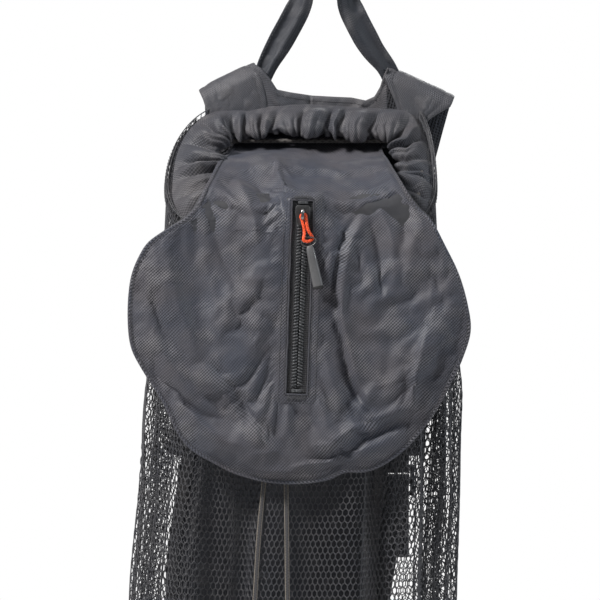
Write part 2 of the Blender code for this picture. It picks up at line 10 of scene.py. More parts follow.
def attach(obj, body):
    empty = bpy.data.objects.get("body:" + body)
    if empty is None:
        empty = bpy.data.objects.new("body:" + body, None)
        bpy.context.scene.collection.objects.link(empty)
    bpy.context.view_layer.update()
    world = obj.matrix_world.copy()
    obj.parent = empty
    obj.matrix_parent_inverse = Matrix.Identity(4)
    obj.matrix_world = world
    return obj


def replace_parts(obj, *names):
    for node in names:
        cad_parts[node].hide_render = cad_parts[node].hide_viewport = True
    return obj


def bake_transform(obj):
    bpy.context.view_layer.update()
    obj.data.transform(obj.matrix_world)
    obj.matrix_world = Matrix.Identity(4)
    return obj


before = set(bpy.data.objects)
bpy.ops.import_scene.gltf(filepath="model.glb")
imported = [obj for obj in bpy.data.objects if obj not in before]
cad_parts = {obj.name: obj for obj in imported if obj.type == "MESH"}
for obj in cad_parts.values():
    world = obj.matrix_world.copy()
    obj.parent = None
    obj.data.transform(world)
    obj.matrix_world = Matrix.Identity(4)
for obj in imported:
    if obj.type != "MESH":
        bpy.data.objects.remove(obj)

scene = bpy.context.scene
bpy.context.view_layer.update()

# ---------------------------------------------------------------- dimensions shared with the CAD
ROUNDNESS = 0.77
SEAM_SIDE_Z = -0.179
SEAM_TILT = 0.057
HEM_RADIUS = 0.0035
FLAP_FRONT_Y = -0.1205
FLAP_BACK_Y = -0.1093
ZIP_TOP = Vector((-0.0192, 0.0, -0.196))
ZIP_LEAN = math.radians(2)
ZIP_LENGTH = 0.147
WINDOW_HALF = 0.0085
PULL_LEAN = math.radians(-12)
PULL_Y = -0.1248
PULL_TOP = Vector((ZIP_TOP.x, 0.0, ZIP_TOP.z - 0.008))
RING_DROP = 0.0184
RING_HALF_WIDTH = 0.0058
RING_HALF_HEIGHT = 0.0036
CORD_WIDTH = 0.0036
BASE_Z = -0.622
YOKE_SEAM_X = -0.0136
STRAP_MIRROR_X = -0.007

# Body of the net: height, middle, half width, depth
BODY_ROWS = np.array([
    (-0.620, -0.027, 0.126, 0.118),
    (-0.560, -0.029, 0.130, 0.114),
    (-0.500, -0.028, 0.129, 0.109),
    (-0.420, -0.022, 0.127, 0.100),
    (-0.340, -0.018, 0.124, 0.097),
    (-0.236, -0.021, 0.110, 0.094),
    (-0.175, -0.021, 0.107, 0.094),
    (-0.120, -0.017, 0.100, 0.094),
])
# Edges of the back panel: height, left, right
BACK_ROWS = np.array([
    (-0.620, -0.130, 0.040),
    (-0.480, -0.128, 0.038),
    (-0.376, -0.112, 0.052),
    (-0.200, -0.090, 0.064),
    (-0.150, -0.066, 0.060),
    (-0.120, -0.062, 0.062),
])


TABLE_FOOT, TABLE_STEP, TABLE_SIZE = -0.660, 0.001, 600


def softened(rows, soften=0.014):
    """The rows at every millimetre of height, with the corners between them eased over twice soften."""
    heights = TABLE_FOOT + TABLE_STEP * np.arange(TABLE_SIZE)
    shifts = np.linspace(-soften, soften, 5)
    columns = [
        np.mean([np.interp(heights + shift, rows[:, 0], rows[:, k]) for shift in shifts], axis=0)
        for k in range(1, rows.shape[1])
    ]
    return np.array(columns).T.tolist()


BODY_TABLE, BACK_TABLE = softened(BODY_ROWS), softened(BACK_ROWS)


def read_table(table, z):
    """The table's values at height z."""
    spot = min(TABLE_SIZE - 2.0, max(0.0, (z - TABLE_FOOT) / TABLE_STEP))
    k = int(spot)
    share = spot - k
    return [a + (b - a) * share for a, b in zip(table[k], table[k + 1])]


def signed_power(value, power=ROUNDNESS):
    return math.copysign(abs(value) ** power, value)


def round_the_bag(turn, middle, half, edges, y_side, y_front, y_rear):
    """A place round the bag: -90 and 270 are the back panel's edges, 0 right, 90 front, 180 left."""
    along, across = signed_power(math.cos(math.radians(turn))), signed_power(math.sin(math.radians(turn)))
    if 0 <= turn <= 180:
        return middle + half * along, y_side + (y_front - y_side) * across
    side = 1 if turn < 0 else -1
    edge = edges[1] if side > 0 else edges[0]
    x = edge + (middle + side * half - edge) * abs(along)
    return x, y_side + (y_rear - y_side) * abs(across)


def body_point(turn, z, grow=0.0):
    middle, half, depth = read_table(BODY_TABLE, z)
    edges = read_table(BACK_TABLE, z)
    x, y = round_the_bag(turn, middle, half + grow, edges, -depth / 2, -depth - grow, grow - 0.0016)
    return Vector((x, y, z))


def seam_point(turn):
    """The seam where the collar meets the net."""
    return body_point(turn, SEAM_SIDE_Z - SEAM_TILT * signed_power(math.sin(math.radians(turn))))


def cord_point(turn):
    """The middle of the drawcord in the collar's channel."""
    x, y = round_the_bag(turn, -0.014, 0.090, (-0.066, 0.048), -0.054, -0.092, -0.020)
    return Vector((x, y, -0.176 - 0.032 * signed_power(math.sin(math.radians(turn)))))


def smooth_route(points, spacing):
    """Places along the smooth curve through the points, about one spacing apart."""
    route = [Vector(point) for point in points]
    ends = [route[0] * 2 - route[1]] + route + [route[-1] * 2 - route[-2]]
    places = []
    for k in range(len(route) - 1):
        before, start, stop, after = ends[k : k + 4]
        count = max(1, round((stop - start).length / spacing))
        for step in range(count):
            t = step / count
            bend = 2 * before - 5 * start + 4 * stop - after
            twist = 3 * start - before - 3 * stop + after
            places.append(0.5 * (2 * start + (stop - before) * t + bend * t**2 + twist * t**3))
    return places + [route[-1]]


def even_route(points, count, closed=False):
    """The line through the points, cut into count places that are evenly far apart."""
    line = [Vector(point) for point in points]
    if closed:
        line = line + [line[0]]
    steps = [(b - a).length for a, b in zip(line, line[1:])]
    reach = np.concatenate([[0.0], np.cumsum(steps)])
    wanted = np.linspace(0.0, reach[-1], count + 1 if closed else count)
    columns = [np.interp(wanted, reach, [point[axis] for point in line]) for axis in range(len(line[0]))]
    places = [Vector(values) for values in zip(*columns)]
    return places[:-1] if closed else places


def eased(share):
    share = min(1.0, max(0.0, share))
    return share * share * (3 - 2 * share)


def ripple(x, y, z=0.0, scale=1.0, seed=0.0):
    """Smooth random waves from -1 to 1, with the scale in metres."""
    return noise.noise(Vector((x / scale + seed * 7.31, y / scale - seed * 3.17, z / scale + seed)))


# ---------------------------------------------------------------- shared effects for the finishes
def group_of(name, inputs, outputs):
    """A shader node group with named sockets. Each input is (name, kind, value)."""
    tree = bpy.data.node_groups.new(name, "ShaderNodeTree")
    for label, kind, value in inputs:
        socket = tree.interface.new_socket(label, in_out="INPUT", socket_type=f"NodeSocket{kind}")
        if value is not None:
            socket.default_value = value
    for label, kind in outputs:
        tree.interface.new_socket(label, in_out="OUTPUT", socket_type=f"NodeSocket{kind}")
    return tree, tree.nodes.new("NodeGroupInput"), tree.nodes.new("NodeGroupOutput")


def plug(tree, target, value):
    """Gives an input a link or a plain value."""
    if isinstance(value, bpy.types.NodeSocket):
        tree.links.new(value, target)
    else:
        target.default_value = value


def maths(tree, operation, *values):
    node = tree.nodes.new("ShaderNodeMath")
    node.operation = operation
    for slot, value in zip(node.inputs, values):
        plug(tree, slot, value)
    return node.outputs[0]


def spread(tree, value, low, high, to_low=0.0, to_high=1.0):
    node = tree.nodes.new("ShaderNodeMapRange")
    for slot, item in zip(node.inputs, (value, low, high, to_low, to_high)):
        plug(tree, slot, item)
    return node.outputs[0]


def mixed(tree, factor, first, second, blend="MIX"):
    node = tree.nodes.new("ShaderNodeMix")
    node.data_type = "RGBA"
    node.blend_type = blend
    plug(tree, node.inputs["Factor"], factor)
    plug(tree, node.inputs["A"], first)
    plug(tree, node.inputs["B"], second)
    return node.outputs["Result"]


def cloud(tree, vector, scale, detail=2.0, roughness=0.5):
    node = tree.nodes.new("ShaderNodeTexNoise")
    plug(tree, node.inputs["Vector"], vector)
    plug(tree, node.inputs["Scale"], scale)
    node.inputs["Detail"].default_value = detail
    node.inputs["Roughness"].default_value = roughness
    return node.outputs["Fac"]


def wave_along(tree, place, pitch):
    """A wave from 0 to 1 that repeats once a pitch."""
    turns = maths(tree, "DIVIDE", place, pitch)
    wave = maths(tree, "SINE", maths(tree, "MULTIPLY", turns, 2 * math.pi))
    return maths(tree, "MULTIPLY_ADD", wave, 0.5, 0.5)


def build_twill_lattice():
    """Two crossing diagonals of raised yarn, one stronger, that fade and return over the cloth."""
    tree, given, made = group_of(
        "twill_lattice",
        [("Vector", "Vector", None), ("Pitch", "Float", 0.0018), ("Second", "Float", 0.45)],
        [("Yarn", "Float"), ("Height", "Float")],
    )
    parts = tree.nodes.new("ShaderNodeSeparateXYZ")
    tree.links.new(given.outputs["Vector"], parts.inputs[0])
    across, along = parts.outputs["X"], parts.outputs["Y"]
    slow = cloud(tree, given.outputs["Vector"], 26.0, 2.0)
    sway = maths(tree, "MULTIPLY", slow, 0.003)
    first = maths(tree, "MULTIPLY", maths(tree, "SUBTRACT", across, along), 0.7071)
    second = maths(tree, "MULTIPLY", maths(tree, "ADD", across, along), 0.7071)
    pitch = given.outputs["Pitch"]
    strong = wave_along(tree, maths(tree, "ADD", first, sway), pitch)
    weak = wave_along(tree, maths(tree, "ADD", second, sway), pitch)
    share = given.outputs["Second"]
    total = maths(tree, "MULTIPLY_ADD", weak, share, strong)
    yarn = maths(tree, "DIVIDE", total, maths(tree, "ADD", share, 1.0))
    strength = spread(tree, cloud(tree, given.outputs["Vector"], 48.0, 3.0), 0.38, 0.60, 0.45, 1.0)
    yarn = maths(tree, "MULTIPLY_ADD", maths(tree, "SUBTRACT", yarn, 0.5), strength, 0.5)
    tree.links.new(yarn, made.inputs["Yarn"])
    tree.links.new(yarn, made.inputs["Height"])
    return tree


def build_plain_weave():
    """Warp and weft crossing at right angles."""
    tree, given, made = group_of(
        "plain_weave",
        [("Vector", "Vector", None), ("Warp", "Float", 0.0008), ("Weft", "Float", 0.0008)],
        [("Yarn", "Float")],
    )
    parts = tree.nodes.new("ShaderNodeSeparateXYZ")
    tree.links.new(given.outputs["Vector"], parts.inputs[0])
    warp = wave_along(tree, parts.outputs["X"], given.outputs["Warp"])
    weft = wave_along(tree, parts.outputs["Y"], given.outputs["Weft"])
    yarn = maths(tree, "ADD", maths(tree, "MULTIPLY", warp, 0.5), maths(tree, "MULTIPLY", weft, 0.5))
    tree.links.new(yarn, made.inputs["Yarn"])
    return tree


def build_handling():
    """What use does to cloth: soft creases, slightly faded high spots and tone that drifts."""
    tree, given, made = group_of(
        "handling",
        [
            ("Vector", "Vector", None),
            ("Crease size", "Float", 70.0),
            ("Fading", "Float", 0.25),
            ("Base", "Color", (0.1, 0.1, 0.1, 1)),
            ("Warm", "Color", (0.12, 0.11, 0.105, 1)),
            ("Cool", "Color", (0.07, 0.08, 0.1, 1)),
        ],
        [("Colour", "Color"), ("Crease", "Float"), ("Rough", "Float")],
    )
    vector = given.outputs["Vector"]
    drift = spread(tree, cloud(tree, vector, 17.0, 3.0, 0.6), 0.36, 0.64)
    tone = mixed(tree, drift, given.outputs["Cool"], given.outputs["Warm"])
    tone = mixed(tree, 0.5, given.outputs["Base"], tone)
    folds = cloud(tree, vector, given.outputs["Crease size"], 2.0, 0.45)
    sharp = maths(tree, "ABSOLUTE", maths(tree, "SUBTRACT", folds, 0.5))
    crease = spread(tree, sharp, 0.0, 0.16, 0.0, 1.0)
    worn = maths(tree, "MULTIPLY", spread(tree, folds, 0.52, 0.70), given.outputs["Fading"])
    light = mixed(tree, worn, tone, (0.15, 0.147, 0.150, 1))
    tree.links.new(light, made.inputs["Colour"])
    tree.links.new(maths(tree, "MULTIPLY_ADD", crease, 0.5, folds), made.inputs["Crease"])
    tree.links.new(spread(tree, drift, 0.0, 1.0, 0.52, 0.68), made.inputs["Rough"])
    return tree


def build_edge_wear():
    """1 on outward edges and 0 elsewhere, broken up by grain."""
    tree, given, made = group_of(
        "edge_wear", [("Vector", "Vector", None), ("Amount", "Float", 0.5)], [("Mask", "Float")]
    )
    shape = tree.nodes.new("ShaderNodeNewGeometry")
    edge = spread(tree, shape.outputs["Pointiness"], 0.52, 0.60)
    grain = spread(tree, cloud(tree, given.outputs["Vector"], 420.0, 3.0), 0.35, 0.65)
    mask = maths(tree, "MULTIPLY", maths(tree, "MULTIPLY", edge, grain), given.outputs["Amount"])
    tree.links.new(mask, made.inputs["Mask"])
    return tree


LATTICE = build_twill_lattice()
PLAIN = build_plain_weave()
HANDLING = build_handling()
EDGE_WEAR = build_edge_wear()


class Finish:
    """A material with its shader, a place to read from, and helpers to add shared effects."""

    def __init__(self, name, rough=0.7, metallic=0.0, sheen=0.0, coat=0.0, uv=True, ior=1.45):
        self.material = bpy.data.materials.new(name)
        self.material.use_nodes = True
        self.tree = self.material.node_tree
        self.shader = self.tree.nodes["Principled BSDF"]
        self.shader.inputs["Roughness"].default_value = rough
        self.shader.inputs["Metallic"].default_value = metallic
        self.shader.inputs["Sheen Weight"].default_value = sheen
        self.shader.inputs["Sheen Roughness"].default_value = 0.45
        self.shader.inputs["Coat Weight"].default_value = coat
        self.shader.inputs["IOR"].default_value = ior
        coordinates = self.tree.nodes.new("ShaderNodeTexCoord")
        self.place = coordinates.outputs["UV" if uv else "Object"]
        self.solid_place = coordinates.outputs["Object"]

    def add(self, group, **values):
        node = self.tree.nodes.new("ShaderNodeGroup")
        node.node_tree = group
        plug(self.tree, node.inputs["Vector"], values.pop("Vector", self.place))
        for label, value in values.items():
            plug(self.tree, node.inputs[label.replace("_", " ")], value)
        return node.outputs

    def colour(self, value):
        plug(self.tree, self.shader.inputs["Base Color"], value)

    def roughness(self, value):
        plug(self.tree, self.shader.inputs["Roughness"], value)

    def bump(self, *layers):
        """Each layer is (height, distance in metres, strength), the broad ones first."""
        normal = None
        for height, distance, strength in layers:
            node = self.tree.nodes.new("ShaderNodeBump")
            node.inputs["Distance"].default_value = distance
            node.inputs["Strength"].default_value = strength
            self.tree.links.new(height, node.inputs["Height"])
            if normal is not None:
                self.tree.links.new(normal, node.inputs["Normal"])
            normal = node.outputs["Normal"]
        self.tree.links.new(normal, self.shader.inputs["Normal"])


def make_twill(name, base, warm, cool, pitch=0.0018, second=0.45, contrast=0.95, fading=0.25, crease=48.0):
    """Grey twill: a diagonal lattice of pale yarn over dark gaps."""
    finish = Finish(name, rough=0.55, sheen=0.05)
    tree = finish.tree
    used = finish.add(HANDLING, Crease_size=crease, Fading=fading, Base=base, Warm=warm, Cool=cool)
    lattice = finish.add(LATTICE, Pitch=pitch, Second=second)
    fibre = cloud(tree, finish.place, 900.0, 2.0)
    gap = mixed(tree, 1.0, used["Colour"], (0.07, 0.09, 0.13, 1), "MULTIPLY")
    peak = mixed(tree, 1.0, used["Colour"], (2.45, 2.42, 2.38, 1), "MULTIPLY")
    yarn = spread(tree, lattice["Yarn"], 0.5 - 0.5 * contrast, 0.5 + 0.5 * contrast)
    toned = mixed(tree, yarn, gap, peak)
    fuzz = spread(tree, fibre, 0.3, 0.7, 0.85, 1.15)
    shade = tree.nodes.new("ShaderNodeCombineColor")
    for slot in shade.inputs:
        tree.links.new(fuzz, slot)
    finish.colour(mixed(tree, 1.0, toned, shade.outputs[0], "MULTIPLY"))
    finish.roughness(used["Rough"])
    finish.bump((used["Crease"], 0.0020, 0.40), (lattice["Height"], 0.0004, 0.6), (fibre, 0.0001, 0.3))
    return finish.material


def make_woven(name, base, warm, cool, warp, weft, rough=0.8, ribs=0.6, fading=0.15, uv=True):
    """Plain or ribbed woven goods: lining, binding tape, webbing and zip tape."""
    finish = Finish(name, rough=rough, sheen=0.1, uv=uv)
    tree = finish.tree
    used = finish.add(HANDLING, Crease_size=90.0, Fading=fading, Base=base, Warm=warm, Cool=cool)
    weave = finish.add(PLAIN, Warp=warp, Weft=weft)
    yarn = spread(tree, weave["Yarn"], 0.5 - ribs / 2, 0.5 + ribs / 2)
    gap = mixed(tree, 1.0, used["Colour"], (0.35, 0.36, 0.40, 1), "MULTIPLY")
    peak = mixed(tree, 1.0, used["Colour"], (1.35, 1.35, 1.32, 1), "MULTIPLY")
    finish.colour(mixed(tree, yarn, gap, peak))
    finish.roughness(used["Rough"])
    finish.bump((used["Crease"], 0.0008, 0.3), (weave["Yarn"], 0.0003, 0.7))
    return finish.material


def make_net_finish():
    """Knitted net yarn: navy black, with a paler worn face and fine filaments."""
    finish = Finish("net_yarn", rough=0.5, sheen=0.1, uv=False)
    tree = finish.tree
    drift = spread(tree, cloud(tree, finish.place, 30.0, 3.0), 0.35, 0.65)
    tone = mixed(tree, drift, (0.020, 0.024, 0.035, 1), (0.050, 0.051, 0.057, 1))
    filament = cloud(tree, finish.place, 1500.0, 2.0)
    toned = mixed(tree, spread(tree, filament, 0.4, 0.65), tone, (0.085, 0.085, 0.090, 1))
    finish.colour(toned)
    finish.roughness(spread(tree, filament, 0.3, 0.7, 0.42, 0.62))
    finish.bump((filament, 0.0002, 0.7))
    return finish.material


def make_spacer_finish():
    """Knitted spacer cloth: rows of small round holes, coloured near black as painted shade inside them."""
    finish = Finish("spacer_knit", rough=0.85, sheen=0.15)
    tree = finish.tree
    cells = tree.nodes.new("ShaderNodeTexVoronoi")
    cells.inputs["Scale"].default_value = 420.0
    cells.inputs["Randomness"].default_value = 0.15
    tree.links.new(finish.place, cells.inputs["Vector"])
    hole = spread(tree, cells.outputs["Distance"], 0.15, 0.45, 1.0, 0.0)
    drift = spread(tree, cloud(tree, finish.place, 24.0, 3.0), 0.35, 0.65)
    knit = mixed(tree, drift, (0.030, 0.034, 0.046, 1), (0.055, 0.056, 0.062, 1))
    # The holes are painted near black: painted shade in the knit's hollows.
    finish.colour(mixed(tree, hole, knit, (0.006, 0.007, 0.010, 1)))
    finish.roughness(spread(tree, drift, 0.0, 1.0, 0.78, 0.92))
    finish.bump((maths(tree, "SUBTRACT", 1.0, hole), 0.0007, 0.9))
    return finish.material


def make_braid(name, core, edge, twist=0.0022, rough=0.7, flat=False, sheen=0.2):
    """Braided cord. The UV's x goes once round the cord, and its y runs along it in metres."""
    finish = Finish(name, rough=rough, sheen=sheen)
    tree = finish.tree
    parts = tree.nodes.new("ShaderNodeSeparateXYZ")
    tree.links.new(finish.place, parts.inputs[0])
    around, along = parts.outputs["X"], parts.outputs["Y"]
    turn = maths(tree, "MULTIPLY", around, 3.0)
    run = maths(tree, "DIVIDE", along, twist)
    left = wave_along(tree, maths(tree, "ADD", run, turn), 1.0)
    right = wave_along(tree, maths(tree, "SUBTRACT", run, turn), 1.0)
    strands = maths(tree, "MAXIMUM", left, right)
    wear = spread(tree, cloud(tree, finish.solid_place, 160.0, 3.0), 0.35, 0.65)
    tone = mixed(tree, wear, core, tuple(1.25 * part for part in core[:3]) + (1,))
    # A flat cord gets pale sides: a painted highlight where its edges would catch the light.
    if flat:
        side = maths(tree, "ABSOLUTE", maths(tree, "COSINE", maths(tree, "MULTIPLY", around, 2 * math.pi)))
        tone = mixed(tree, spread(tree, side, 0.62, 0.80), tone, edge)
    dark = mixed(tree, 1.0, tone, (0.40, 0.38, 0.38, 1), "MULTIPLY")
    finish.colour(mixed(tree, spread(tree, strands, 0.25, 0.8), dark, tone))
    finish.roughness(spread(tree, wear, 0.0, 1.0, rough - 0.08, rough + 0.08))
    finish.bump((strands, 0.0003, 0.8))
    return finish.material


def make_moulded(name, base, worn, rough=0.4, grain=700.0, coat=0.0, wear=0.5, metallic=0.0):
    """Moulded plastic or cast metal: fine grain, drifted tone and rubbed edges."""
    finish = Finish(name, rough=rough, coat=coat, uv=False, metallic=metallic)
    tree = finish.tree
    fine = cloud(tree, finish.place, grain, 3.0)
    drift = spread(tree, cloud(tree, finish.place, 60.0, 3.0), 0.35, 0.65)
    mask = finish.add(EDGE_WEAR, Amount=wear)["Mask"]
    tone = mixed(tree, drift, base, tuple(0.72 * part for part in base[:3]) + (1,))
    tone = mixed(tree, maths(tree, "MULTIPLY", fine, 0.25), tone, worn)
    finish.colour(mixed(tree, mask, tone, worn))
    finish.roughness(maths(tree, "MULTIPLY_ADD", fine, 0.25, rough - 0.12))
    finish.bump((fine, 0.00012, 0.35))
    return finish.material


TWILL = make_twill("grey_twill", (0.048, 0.049, 0.060, 1), (0.065, 0.061, 0.067, 1), (0.029, 0.037, 0.055, 1))
SMOOTH_TWILL = make_twill(
    "yoke_twill", (0.056, 0.056, 0.063, 1), (0.070, 0.066, 0.069, 1), (0.040, 0.046, 0.058, 1), pitch=0.0011,
    contrast=1.0, second=0.9, crease=60.0,
)
COLLAR_TWILL = make_twill(
    "collar_twill", (0.046, 0.046, 0.053, 1), (0.060, 0.056, 0.059, 1), (0.032, 0.038, 0.050, 1),
    pitch=0.0012, contrast=1.0, second=0.9, fading=0.30, crease=110.0,
)
LOOP_TWILL = make_twill(
    "loop_twill", (0.021, 0.024, 0.031, 1), (0.026, 0.027, 0.032, 1), (0.014, 0.018, 0.026, 1), pitch=0.0012,
    contrast=1.0
)
LINING = make_woven(
    "coated_lining", (0.040, 0.042, 0.050, 1), (0.048, 0.046, 0.048, 1), (0.030, 0.034, 0.044, 1),
    0.0009, 0.0009,
)
BINDING = make_woven(
    "binding_tape", (0.060, 0.060, 0.067, 1), (0.075, 0.071, 0.072, 1), (0.045, 0.050, 0.060, 1), 0.02, 0.0011
)
ZIP_TAPE = make_woven(
    "zip_tape", (0.052, 0.053, 0.058, 1), (0.062, 0.060, 0.060, 1), (0.040, 0.044, 0.052, 1), 0.0011, 0.0016,
    fading=0.05,
)
WEBBING = make_woven(
    "webbing", (0.030, 0.031, 0.036, 1), (0.040, 0.038, 0.039, 1), (0.022, 0.025, 0.032, 1),
    0.0016, 0.0011, 0.75,
)
# The back cloth is dark cloth made darker still: painted shade for the inside of the bag behind the net.
DARK_AND_SHADED_PANEL = make_woven(
    "back_cloth", (0.026, 0.029, 0.038, 1), (0.033, 0.033, 0.038, 1), (0.018, 0.021, 0.030, 1), 0.0011, 0.0011
)
NET = make_net_finish()
SPACER = make_spacer_finish()
# The drawcord's pale edge colour is a painted highlight.
CORD_WITH_PAINTED_EDGES = make_braid("drawcord", (0.055, 0.055, 0.058, 1), (0.21, 0.185, 0.150, 1), flat=True)
CHANNEL_CORD = make_braid("channel_cord", (0.09, 0.085, 0.08, 1), (0.2, 0.18, 0.15, 1))
ORANGE = make_braid("orange_cord", (1.0, 0.105, 0.022, 1), (1, 1, 1, 1), twist=0.0024, rough=0.5, sheen=0.1)
THREAD = make_braid("sewing_thread", (0.075, 0.078, 0.088, 1), (1, 1, 1, 1), twist=0.0006, rough=0.6)
BLACK_PLASTIC = make_moulded("black_plastic", (0.014, 0.014, 0.016, 1), (0.06, 0.06, 0.065, 1), rough=0.42)
COIL = make_moulded("nylon_coil", (0.050, 0.055, 0.062, 1), (0.16, 0.165, 0.17, 1), rough=0.34, wear=0.8)
DARK_METAL = make_moulded(
    "painted_metal", (0.055, 0.057, 0.060, 1), (0.32, 0.32, 0.32, 1), rough=0.36, metallic=0.6
)
BRIGHT_METAL = make_moulded("bare_metal", (0.30, 0.30, 0.31, 1), (0.6, 0.6, 0.6, 1), rough=0.3, metallic=1.0)
GRIP = make_moulded("grip_rubber", (0.105, 0.107, 0.112, 1), (0.24, 0.24, 0.24, 1), rough=0.42, coat=0.35)
GRIP_TIP = make_moulded("grip_tip", (0.020, 0.020, 0.022, 1), (0.06, 0.06, 0.06, 1), rough=0.45)


# ---------------------------------------------------------------- making pieces
def add_piece(name, bm, finish, body=None, smooth=True, doubles=0.0):
    if doubles:
        bmesh.ops.remove_doubles(bm, verts=bm.verts, dist=doubles)
    mesh = bpy.data.meshes.new(name)
    bm.to_mesh(mesh)
    bm.free()
    for one in finish if isinstance(finish, list) else [finish]:
        mesh.materials.append(one)
    if smooth:
        mesh.shade_smooth()
    piece = bpy.data.objects.new(name, mesh)
    scene.collection.objects.link(piece)
    if body:
        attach(piece, body)
    return piece


def cloth_grid(columns, rows, place, span, facing=None, close=False):
    """A grid moved to place(u, v), u and v from 0 to 1, with its UV map in metres over the given span."""
    bm = bmesh.new()
    bmesh.ops.create_grid(bm, x_segments=columns, y_segments=rows, size=0.5)
    flat = [(vert.co.x + 0.5, vert.co.y + 0.5) for vert in bm.verts]
    bm.verts.index_update()
    layer = bm.loops.layers.uv.new("cloth")
    for face in bm.faces:
        for loop in face.loops:
            u, v = flat[loop.vert.index]
            loop[layer].uv = (u * span[0], v * span[1])
    for vert, (u, v) in zip(bm.verts, flat):
        vert.co = place(u, v)
    bm.normal_update()
    if facing is not None:
        total = Vector()
        for face in bm.faces:
            total += face.normal * face.calc_area()
        if total.dot(Vector(facing)) < 0:
            bmesh.ops.reverse_faces(bm, faces=bm.faces)
    if close:
        bmesh.ops.remove_doubles(bm, verts=bm.verts, dist=0.000001)
        ends = [edge for edge in bm.edges if edge.is_boundary]
        if ends:
            bmesh.ops.holes_fill(bm, edges=ends, sides=0)
        bmesh.ops.recalc_face_normals(bm, faces=bm.faces)
    return bm


def thicken(piece, thickness, offset=0.0, subdivide=0):
    solid = piece.modifiers.new("cloth_thickness", "SOLIDIFY")
    solid.thickness = thickness
    solid.offset = offset
    if subdivide:
        smooth = piece.modifiers.new("soft_edges", "SUBSURF")
        smooth.levels = subdivide
        smooth.render_levels = subdivide
    return piece


def frames_along(route, closed=False):
    """A side and an up direction at each place of the route, turning as little as possible."""
    count = len(route)
    aheads = []
    for k in range(count):
        after = route[(k + 1) % count] if closed or k < count - 1 else route[k]
        before = route[k - 1] if closed or k > 0 else route[k]
        aheads.append((after - before).normalized())
    side = aheads[0].cross(Vector((0, 1, 0)))
    if side.length < 0.2:
        side = aheads[0].cross(Vector((1, 0, 0)))
    side.normalize()
    frames = []
    for ahead in aheads:
        side = (side - ahead * side.dot(ahead)).normalized()
        frames.append((ahead, side, ahead.cross(side).normalized()))
    return frames


def cord_along(name, route, half_width, half_depth, finish, sides=10, closed=False, waist=0.0, across=None,
               body=None):
    """A cord swept along the route; a waist pinches the middle of a flat cord. UV: round, then along."""
    route = [Vector(point) for point in route]
    if closed:
        route = route + [route[0]]
    frames = frames_along(route[:-1], True) if closed else frames_along(route)
    if closed:
        frames.append(frames[0])
    reach = [0.0]
    for a, b in zip(route, route[1:]):
        reach.append(reach[-1] + (b - a).length)
    last = len(route) - 1

    def place(u, v):
        step = round(v * last)
        ahead, side, up = frames[step]
        if across is not None:
            side = (Vector(across) - ahead * ahead.dot(Vector(across))).normalized()
            up = ahead.cross(side).normalized()
        angle = 2 * math.pi * u
        pinch = 1 - waist * math.exp(-((math.cos(angle) / 0.5) ** 2))
        width = half_width(v) if callable(half_width) else half_width
        depth = half_depth(v) if callable(half_depth) else half_depth
        return route[step] + side * width * math.cos(angle) + up * depth * pinch * math.sin(angle)

    bm = cloth_grid(sides, last, place, (1.0, reach[-1]), close=True)
    return add_piece(name, bm, finish, body)


def stitch_line(
    name, route, pitch, finish, body=None, radius=0.00032, share=0.62, lift=0.0, closed=False
):
    """Short thread ends lying along the route, each a small rounded bar."""
    line = [Vector(point) for point in route]
    length = sum((b - a).length for a, b in zip(line, line[1:]))
    count = max(2, round(length / pitch))
    places = even_route(line, count * 2 + 1)
    bm = bmesh.new()
    for k in range(count):
        start, middle, stop = places[2 * k], places[2 * k + 1], places[min(2 * k + 2, 2 * count)]
        ahead = (stop - start).normalized()
        turn = ahead.to_track_quat("Z", "Y").to_matrix().to_4x4()
        shape = Matrix.Diagonal((radius, radius, pitch * share / 2, 1.0))
        at = Matrix.Translation(middle + Vector((0, -lift, 0)))
        bmesh.ops.create_uvsphere(bm, u_segments=6, v_segments=4, radius=1.0, matrix=at @ turn @ shape)
    return add_piece(name, bm, finish, body)


def rounded_block(bm, low, high, round_by, segments=2):
    """Adds a box with rounded edges to the mesh and returns its vertices."""
    low, high = Vector(low), Vector(high)
    made = bmesh.ops.create_cube(bm, size=1.0)["verts"]
    bmesh.ops.scale(bm, vec=high - low, verts=made)
    bmesh.ops.translate(bm, vec=(low + high) / 2, verts=made)
    edges = list({edge for vert in made for edge in vert.link_edges})
    result = bmesh.ops.bevel(
        bm, geom=edges, offset=round_by, offset_type="OFFSET", affect="EDGES", segments=segments,
        profile=0.5, material=-1, clamp_overlap=True,
    )
    return [vert for vert in result["verts"]]


